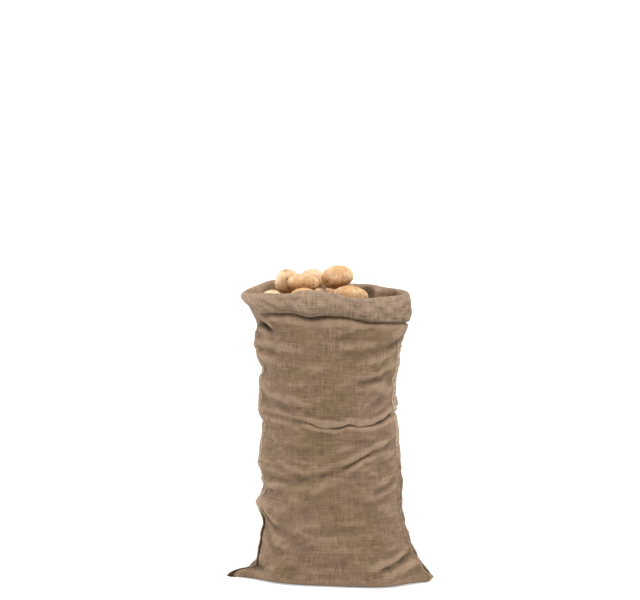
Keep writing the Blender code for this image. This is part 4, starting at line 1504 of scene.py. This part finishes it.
def make_fibres(settings, material):
    """Loose jute fibres that stand off the cloth, most of them at the seams and on the cuff."""
    cloth = current_cloth()
    random = np.random.default_rng(settings.fibre_seed)
    inner_normals = -grid_normals(cloth.inner)
    parts = []
    for _ in range(settings.fibre_count):
        root, out = fibre_root(cloth, inner_normals, random)
        length = settings.fibre_length * random.uniform(*FIBRE_LENGTHS)
        lean = random.normal(0, 1, 3)
        lean -= out * (lean @ out)
        lean /= np.linalg.norm(lean)
        curl = random.normal(0, FIBRE_CURL, 3)
        rise = random.uniform(*FIBRE_RISE)
        path = []
        for share in np.linspace(0, 1, FIBRE_POINTS):
            away = out * rise * math.sin(share * FIBRE_BEND) + lean * share + curl * share**2 / 2
            path.append(root - out * FIBRE_ROOT + away * length)
        path = np.array(path)
        path[:, 2] = np.maximum(path[:, 2], FIBRE_ROOT)
        radius = settings.fibre_width / 2 * random.uniform(*FIBRE_WIDTHS)
        parts.append(tube(path, radius, FIBRE_SIDES))
    points, faces = joined(parts)
    piece = new_piece("loose_fibres", points, faces, material)
    return piece


# Potatoes
def lumpy(points, centre, size, seed, lump):
    """Moves a potato's points in and out by smooth lumps, and says how deep in an eye each is."""
    random = np.random.default_rng(seed)
    from_centre = points - centre
    reach = np.linalg.norm(from_centre, axis=1, keepdims=True)
    ways = from_centre / np.maximum(reach, 1e-9)
    push = np.zeros(len(points))
    for waves, share in LUMP_WAVES:
        offset = Vector(random.uniform(-50, 50, 3))
        push += share * np.array([noise.noise(Vector(w) * waves * 0.5 + offset) for w in ways])
    eye = np.zeros(len(points))
    for _ in range(random.integers(*EYES)):
        middle = random.normal(0, 1, 3)
        middle /= np.linalg.norm(middle)
        gap = np.degrees(np.arccos(np.clip(ways @ middle, -1, 1))) / 90 * size * EYE_SPACING
        width = random.uniform(*EYE_WIDTHS)
        eye = np.maximum(eye, bell(gap, width))
        push -= EYE_DEPTH * bell(gap, width * EYE_DENT)
    return points + ways * (push * lump)[:, None], eye


def potato_mesh(node, voxel):
    """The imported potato, remeshed in even small faces and smoothed."""
    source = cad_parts[node].data.copy()
    work = bpy.data.objects.new("potato_work", source)
    bpy.context.scene.collection.objects.link(work)
    weld = work.modifiers.new("close", "WELD")
    weld.merge_threshold = WELD_DISTANCE
    remesh = work.modifiers.new("even", "REMESH")
    remesh.mode = "VOXEL"
    remesh.voxel_size = voxel
    smooth = work.modifiers.new("soft", "SMOOTH")
    smooth.factor = SMOOTH_SHARE
    smooth.iterations = SMOOTH_ROUNDS
    graph = bpy.context.evaluated_depsgraph_get()
    mesh = bpy.data.meshes.new_from_object(work.evaluated_get(graph))
    bpy.data.objects.remove(work)
    return mesh


def painted_potato_shade(mesh, points, node):
    """Painted shade at each point: 1 where another potato touches, less underneath and on a potato lying
    low, and 0 elsewhere.
    """
    ways = np.zeros(len(points) * 3)
    mesh.vertices.foreach_get("normal", ways)
    near = UNDER_SHADE * ease(UNDER_FROM - UNDER_PACE * ways.reshape(-1, 3)[:, 2])
    low, high = box_corners(node)
    middle = (low[2] + high[2]) / 2
    near = np.maximum(near, BURIED_SHADE * ease((BURIED_FROM - middle) / BURIED_OVER))
    for other in POTATO_NODES:
        if other != node:
            low, high = box_corners(other)
            stretch = (points - (low + high) / 2) / ((high - low) / 2)
            gap = (np.linalg.norm(stretch, axis=1) - 1) * float((high - low).mean()) / 2
            near = np.maximum(near, bell(np.maximum(gap, 0), TOUCH_FADE))
    return near


def make_potato(node, seed, settings, material):
    """One of the potatoes that show, with its lumps and eyes."""
    mesh = potato_mesh(node, settings.voxel)
    points = np.zeros(len(mesh.vertices) * 3)
    mesh.vertices.foreach_get("co", points)
    points = points.reshape(-1, 3)
    low, high = box_corners(node)
    size = float((high - low).max()) / 2
    points, eye = lumpy(points, (low + high) / 2, size, seed, settings.lump)
    mesh.vertices.foreach_set("co", points.ravel())
    tint = POTATO_TINTS[POTATO_NODES.index(node) % len(POTATO_TINTS)]
    put_values(mesh, "eye", eye)
    # painted shade, stored as near
    put_values(mesh, "near", painted_potato_shade(mesh, points, node))
    put_values(mesh, "tint", np.full(len(points), tint))
    mesh.shade_smooth()
    mesh.materials.clear()
    mesh.materials.append(material)
    piece = bpy.data.objects.new(f"skin_{node}", mesh)
    bpy.context.scene.collection.objects.link(piece)
    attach(piece, "root")
    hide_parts(node)
    return piece


def pushed_apart(gaps, room, share, skip=0.0):
    """How far each middle moves away from those that it is nearer to than the room between them."""
    length = np.linalg.norm(gaps, axis=2) + skip
    short = np.clip(room - length, 0, None) * (1 - skip)
    return (gaps / length[..., None] * short[..., None] * share).sum(axis=1)


def bed_places(settings, visible):
    """Middles and radii of the hidden potatoes, pushed apart from each other and the visible ones."""
    random = np.random.default_rng(settings.bed_seed)
    count = settings.bed_count
    radii = random.uniform(*BED_RADII, count)
    turns = random.uniform(0, 2 * math.pi, count)
    spread = np.sqrt(random.uniform(0, 1, count))
    start_x, start_y = BED_START
    levels = random.uniform(*BED_LEVELS, count)
    middles = np.stack([start_x * spread * np.cos(turns), start_y * spread * np.sin(turns), levels], 1)
    fixed = np.array([place for place, _ in visible])
    fixed_radii = np.array([radius for _, radius in visible])
    reach_x, reach_y = (reach - radii for reach in BED_REACH)
    room, fixed_room = radii[:, None] + radii[None], radii[:, None] + fixed_radii[None]
    for _ in range(BED_ROUNDS):
        push = pushed_apart(middles[:, None] - middles[None], room, BED_PUSH, np.eye(count))
        push += pushed_apart(middles[:, None] - fixed[None], fixed_room, BED_PUSH_FIXED)
        middles = middles + push
        out = np.sqrt((middles[:, 0] / reach_x) ** 2 + (middles[:, 1] / reach_y) ** 2)
        middles[:, :2] /= np.maximum(out, 1)[:, None]
        top = settings.bed_top - BED_SLOPE * np.maximum(middles[:, 0] - BED_SLOPE_FROM, 0) - radii
        middles[:, 2] = np.clip(middles[:, 2], BED_FLOOR, top)
    return middles, radii


def unit_ball(around, along):
    """Points and faces of a ball of radius 1, from its pole at -X to the one at +X."""
    points = [(-1, 0, 0)]
    for i in range(1, along):
        polar = math.pi * i / along
        for k in range(around):
            spin = 2 * math.pi * k / around
            ring = math.sin(polar)
            points.append((-math.cos(polar), ring * math.cos(spin), ring * math.sin(spin)))
    points.append((1, 0, 0))
    faces = []
    last = len(points) - 1
    for k in range(around):
        j = (k + 1) % around
        faces += [(1 + k, 1 + j, 0), (last - around + j, last - around + k, last)]
        for i in range(along - 2):
            a, b = 1 + i * around, 1 + (i + 1) * around
            faces.append((b + k, b + j, a + j, a + k))
    return np.array(points), faces


def make_bed(settings, material):
    """The upper layers of the potatoes below the ones that show, as one joined mesh."""
    visible = []
    for node in POTATO_NODES:
        low, high = box_corners(node)
        visible.append(((low + high) / 2, float((high - low).mean()) / 2))
    middles, radii = bed_places(settings, visible)
    random = np.random.default_rng(settings.bed_seed + 1)
    ball, ball_faces = unit_ball(BED_AROUND, BED_ALONG)
    parts, eyes = [], []
    for number, (middle, radius) in enumerate(zip(middles, radii, strict=True)):
        stretch = np.array([random.uniform(*share) for share in BED_STRETCH])
        turn = Vector(random.normal(0, 1, 3)).to_track_quat("X", "Z").to_matrix()
        shaped = ball * stretch * radius @ np.array(turn).T
        seed = FIRST_BED_SEED + number
        shaped, eye = lumpy(shaped, np.zeros(3), radius * BED_SIZE, seed, BED_LUMP)
        parts.append((shaped + middle, ball_faces))
        eyes.append(eye)
    points, faces = joined(parts)
    depth = settings.bed_top - np.array(points)[:, 2]
    piece = new_piece("potato_bed", points, faces, material)
    put_values(piece.data, "eye", np.concatenate(eyes))
    # painted shade, more on hidden potatoes lying further below the top
    put_values(piece.data, "near", BED_LEAST_SHADE + ease(depth / BED_SHADE) / 2)
    put_values(piece.data, "tint", np.full(len(points), BED_TINT))
    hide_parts(FILLING_NODE)
    return piece


# Stage
def aim(thing, place, target):
    """Puts a light or the camera at a place, facing a target."""
    thing.location = place
    thing.rotation_euler = (Vector(target) - Vector(place)).to_track_quat("-Z", "Y").to_euler()


def add_sun(name, energy, place, size):
    """A light from far off, which comes from the side of the place given."""
    data = bpy.data.lights.new(name, "SUN")
    data.energy = energy
    data.angle = size
    light = bpy.data.objects.new(name, data)
    bpy.context.scene.collection.objects.link(light)
    aim(light, place, LIGHT_TARGET)
    return data


def make_camera(settings):
    """The camera, which looks down a little from in front."""
    data = bpy.data.cameras.new("camera")
    data.lens = settings.lens
    data.sensor_width = SENSOR
    data.clip_end = CLIP_END
    camera = bpy.data.objects.new("camera", data)
    bpy.context.scene.collection.objects.link(camera)
    back = settings.distance * math.cos(settings.pitch)
    up = settings.distance * math.sin(settings.pitch)
    place = (0, -back, settings.orbit_height + up)
    aim(camera, place, (settings.aim_side, 0, settings.aim_height))
    bpy.context.scene.camera = camera


def make_floor(settings):
    """The floor, which is part of the stage."""
    mesh = bpy.data.meshes.new("floor")
    half = settings.floor_size / 2
    corners = [(-half, -half, 0), (half, -half, 0), (half, half, 0), (-half, half, 0)]
    mesh.from_pydata(corners, [], [(0, 1, 2, 3)])
    mesh.materials.append(floor_material(settings))
    floor = bpy.data.objects.new("floor", mesh)
    floor.location.z = -FLOOR_DROP
    bpy.context.scene.collection.objects.link(floor)


def make_light(settings):
    """Light from all round, a soft key from above, and a softer light on each side without shadows."""
    world = bpy.data.worlds.new("studio")
    world.use_nodes = True
    background = world.node_tree.nodes["Background"]
    background.inputs["Color"].default_value = (1, 1, 1, 1)
    background.inputs["Strength"].default_value = settings.room_light
    bpy.context.scene.world = world
    add_sun("key", settings.key_light, KEY_PLACE, KEY_SIZE)
    x, y, z = EDGE_PLACE
    for name, place, energy in (
        ("left_edge", (-x, y, z), settings.left_light),
        ("right_edge", (x, y, z), settings.right_light),
    ):
        add_sun(name, energy, place, EDGE_SIZE).use_shadow = False
    bpy.context.scene.view_settings.view_transform = "Standard"
    bpy.context.scene.view_settings.look = "None"


# The add-on
def length_property(name, description, default, low, high):
    """A length in metres."""
    return bpy.props.FloatProperty(
        name=name, description=description, default=default, min=low, max=high, unit="LENGTH", precision=5
    )


def colour_property(name, description, default):
    """A colour."""
    return bpy.props.FloatVectorProperty(
        name=name, description=description, default=default, size=3, min=0, max=1, subtype="COLOR"
    )


def number_property(name, description, default, low, high):
    """A plain number."""
    return bpy.props.FloatProperty(
        name=name, description=description, default=default, min=low, max=high
    )


def count_property(name, description, default, low, high):
    """A whole number."""
    return bpy.props.IntProperty(name=name, description=description, default=default, min=low, max=high)


class SackClothSettings(bpy.types.PropertyGroup):
    """Sizes and colours of the hessian."""

    thickness: length_property("Thickness", "Thickness of the hessian", 0.0025, 0.001, 0.003)
    panel_columns: count_property(
        "Panel Columns", "Columns of the mesh between the two seams", 100, 20, 140
    )
    wall_rows: count_property("Wall Rows", "Rows of the mesh up the wall", 163, 40, 200)
    yarn_pitch: length_property("Yarn Pitch", "From one yarn to the next", 0.0021, 0.001, 0.006)
    thread_contrast: number_property(
        "Thread Contrast", "How much darker some yarns are", 0.82, 0.0, 1.0
    )
    warm_yarn: colour_property("Warm Yarn", "Colour of the pinkish patches", (0.181, 0.115, 0.073))
    cool_yarn: colour_property("Cool Yarn", "Colour of the olive patches", (0.160, 0.105, 0.057))
    # the turned face is painted paler, partly standing in for the light from above on the cuff
    turned_yarn: colour_property(
        "Turned Yarn", "Colour of the face turned out at the cuff", (0.218, 0.152, 0.101)
    )
    # edge_yarn paints the highlight on the seams' edges, which are partly rubbed too
    edge_yarn: colour_property("Edge Yarn", "Colour of the seams' rubbed edges", (0.62, 0.49, 0.37))
    # pale_yarn also paints the highlight on ridges and on the rolled rim
    pale_yarn: colour_property(
        "Pale Yarn", "Colour of worn ridges and of the seam twine", (0.36, 0.26, 0.185)
    )


class SackSeamSettings(bpy.types.PropertyGroup):
    """Sizes of the seam twine and of the loose fibres."""

    stitch_step: length_property("Stitch Step", "From one stitch to the next", 0.0150, 0.004, 0.03)
    twine_width: length_property("Twine Width", "Thickness of the seam twine", 0.0014, 0.0006, 0.004)
    fibre_count: count_property("Fibres", "How many loose fibres stand off the cloth", 1500, 0, 2500)
    fibre_length: length_property("Fibre Length", "Usual length of a loose fibre", 0.010, 0.002, 0.04)
    fibre_width: length_property("Fibre Width", "Thickness of a loose fibre", 0.00035, 0.0001, 0.001)
    fibre_seed: count_property(
        "Fibre Seed", "Start of the random numbers that place the fibres", 23, 0, 9999
    )


class SackPotatoSettings(bpy.types.PropertyGroup):
    """Sizes and colours of the potatoes."""

    voxel: length_property("Face Size", "Size of a potato's even faces", 0.0024, 0.001, 0.006)
    lump: length_property("Lumps", "How far the lumps stand out", 0.0022, 0.0, 0.02)
    bed_count: count_property(
        "Hidden Potatoes", "How many potatoes lie below the ones that show", 46, 0, 80
    )
    bed_top: length_property("Hidden Top", "Top of the hidden potatoes on the left", 0.775, 0.6, 0.9)
    bed_seed: count_property("Hidden Seed", "Start of the random numbers that place them", 5, 0, 9999)
    pale_skin: colour_property("Pale Skin", "Colour of the pale patches", (0.81, 0.61, 0.38))
    warm_skin: colour_property("Warm Skin", "Colour of the peach patches", (0.67, 0.39, 0.185))
    russet_skin: colour_property("Russet", "Colour of the netting and the spots", (0.33, 0.17, 0.075))
    # shaded_skin paints the shade low down and where two potatoes touch
    shaded_skin: colour_property(
        "Shaded Skin", "Colour low down and where two touch", (0.36, 0.165, 0.055)
    )
    # the soil colour also paints the darkest shade where potatoes touch
    soil: colour_property("Soil", "Colour of dry soil in the eyes", (0.105, 0.052, 0.021))


class SackStageSettings(bpy.types.PropertyGroup):
    """The floor, the light and the camera."""

    floor_size: length_property("Floor Size", "Side of the floor", 400.0, 10.0, 1000.0)
    floor_tone: number_property("Floor Tone", "Brightness of the floor", 0.93, 0.0, 1.0)
    floor_glow: number_property(
        "Floor Glow", "Light that the floor gives, as lit paper does", 0.20, 0.0, 2.0
    )
    room_light: number_property("Room Light", "Strength of the light from all round", 0.46, 0.0, 10.0)
    key_light: number_property("Key Light", "Strength of the light from above", 2.55, 0.0, 20.0)
    left_light: number_property("Left Light", "Strength of the light from the left", 1.6, 0.0, 20.0)
    right_light: number_property("Right Light", "Strength of the light from the right", 1.35, 0.0, 20.0)
    lens: number_property("Lens", "Focal length in millimetres", 160.0, 20.0, 400.0)
    distance: length_property("Distance", "From the camera to the middle of the sack", 7.9, 1.0, 30.0)
    pitch: bpy.props.FloatProperty(
        name="Pitch",
        description="How far above the sack's middle the camera stands",
        default=math.radians(10),
        min=0,
        max=math.radians(80),
        subtype="ANGLE",
    )
    orbit_height: length_property(
        "Orbit Height", "Height that the pitch is measured from", 0.42, 0.0, 2.0
    )
    aim_height: length_property("Aim Height", "Height that the camera looks at", 0.775, 0.0, 2.0)
    aim_side: length_property(
        "Aim Side", "How far left of the sack the camera looks", -0.0275, -1.0, 1.0
    )


def shared_material(name, make):
    """The material of that name, made if it isn't there yet."""
    return bpy.data.materials.get(name) or make()


def hessian():
    """The cloth's material."""
    scene = bpy.context.scene
    return shared_material("hessian_weave", lambda: hessian_material(scene.sack_cloth))


def twine():
    """The material of the seam twine and the loose fibres."""
    scene = bpy.context.scene
    return shared_material("jute_twine", lambda: twine_material(scene.sack_cloth))


def skin():
    """The potatoes' material."""
    scene = bpy.context.scene
    return shared_material("potato_peel", lambda: potato_material(scene.sack_potatoes))


class SACK_OT_stage(bpy.types.Operator):
    """Add the pale floor, the soft studio light and the camera"""

    bl_idname = "sack.stage"
    bl_label = "Add Stage"
    bl_options = {"REGISTER", "UNDO"}

    def execute(self, context):
        settings = context.scene.sack_stage
        make_camera(settings)
        make_floor(settings)
        make_light(settings)
        return {"FINISHED"}


class SACK_OT_potatoes(bpy.types.Operator):
    """Add the potatoes that show in the mouth"""

    bl_idname = "sack.potatoes"
    bl_label = "Add Potatoes"
    bl_options = {"REGISTER", "UNDO"}

    def execute(self, context):
        for number, node in enumerate(POTATO_NODES):
            seed = FIRST_POTATO_SEED + number
            make_potato(node, seed, context.scene.sack_potatoes, skin())
        return {"FINISHED"}


class SACK_OT_bed(bpy.types.Operator):
    """Add the potatoes that lie below the ones that show"""

    bl_idname = "sack.bed"
    bl_label = "Add Hidden Potatoes"
    bl_options = {"REGISTER", "UNDO"}

    def execute(self, context):
        make_bed(context.scene.sack_potatoes, skin())
        return {"FINISHED"}


class SACK_OT_seams(bpy.types.Operator):
    """Add the twine that binds the two side seams"""

    bl_idname = "sack.seams"
    bl_label = "Add Seam Twine"
    bl_options = {"REGISTER", "UNDO"}

    def execute(self, context):
        settings = context.scene.sack_seams
        make_stitches("left_seam_twine", LEFT_SEAM, settings, twine())
        make_stitches("right_seam_twine", RIGHT_SEAM, settings, twine())
        return {"FINISHED"}


class SACK_OT_fibres(bpy.types.Operator):
    """Add the loose fibres of the hessian"""

    bl_idname = "sack.fibres"
    bl_label = "Add Loose Fibres"
    bl_options = {"REGISTER", "UNDO"}

    def execute(self, context):
        make_fibres(context.scene.sack_seams, twine())
        return {"FINISHED"}


class SACK_OT_cloth(bpy.types.Operator):
    """Add the sack itself, with its folds, rim and cuff"""

    bl_idname = "sack.cloth"
    bl_label = "Add Hessian Sack"
    bl_options = {"REGISTER", "UNDO"}

    def execute(self, context):
        piece = make_cloth(hessian())
        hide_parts(SACK_NODE)
        return {"FINISHED"}


class SACK_PT_panel(bpy.types.Panel):
    """Makes the sack piece by piece"""

    bl_idname = "SACK_PT_panel"
    bl_label = "Hessian Potato Sack"
    bl_space_type = "VIEW_3D"
    bl_region_type = "UI"
    bl_category = "Sack"

    def draw(self, context):
        for operator in OPERATORS:
            self.layout.operator(operator.bl_idname)
        for name in SETTINGS:
            box = self.layout.box()
            settings = getattr(context.scene, name)
            for key in settings.bl_rna.properties.keys():
                if key not in {"rna_type", "name"}:
                    box.prop(settings, key)


SETTINGS = {
    "sack_stage": SackStageSettings,
    "sack_potatoes": SackPotatoSettings,
    "sack_seams": SackSeamSettings,
    "sack_cloth": SackClothSettings,
}
OPERATORS = (SACK_OT_stage, SACK_OT_potatoes, SACK_OT_bed, SACK_OT_seams, SACK_OT_fibres, SACK_OT_cloth)


def register():
    """Adds the panel, the operators and their settings."""
    for kind in (*SETTINGS.values(), *OPERATORS, SACK_PT_panel):
        bpy.utils.register_class(kind)
    for name, kind in SETTINGS.items():
        setattr(bpy.types.Scene, name, bpy.props.PointerProperty(type=kind))


def unregister():
    """Takes them away again."""
    for name in SETTINGS:
        delattr(bpy.types.Scene, name)
    for kind in (SACK_PT_panel, *reversed(OPERATORS), *SETTINGS.values()):
        bpy.utils.unregister_class(kind)


def main():
    """Makes the stage and every piece."""
    register()
    bpy.ops.sack.stage()
    bpy.ops.sack.potatoes()
    bpy.ops.sack.bed()
    bpy.ops.sack.seams()
    bpy.ops.sack.fibres()
    bpy.ops.sack.cloth()


if __name__ == "__main__":
    main()
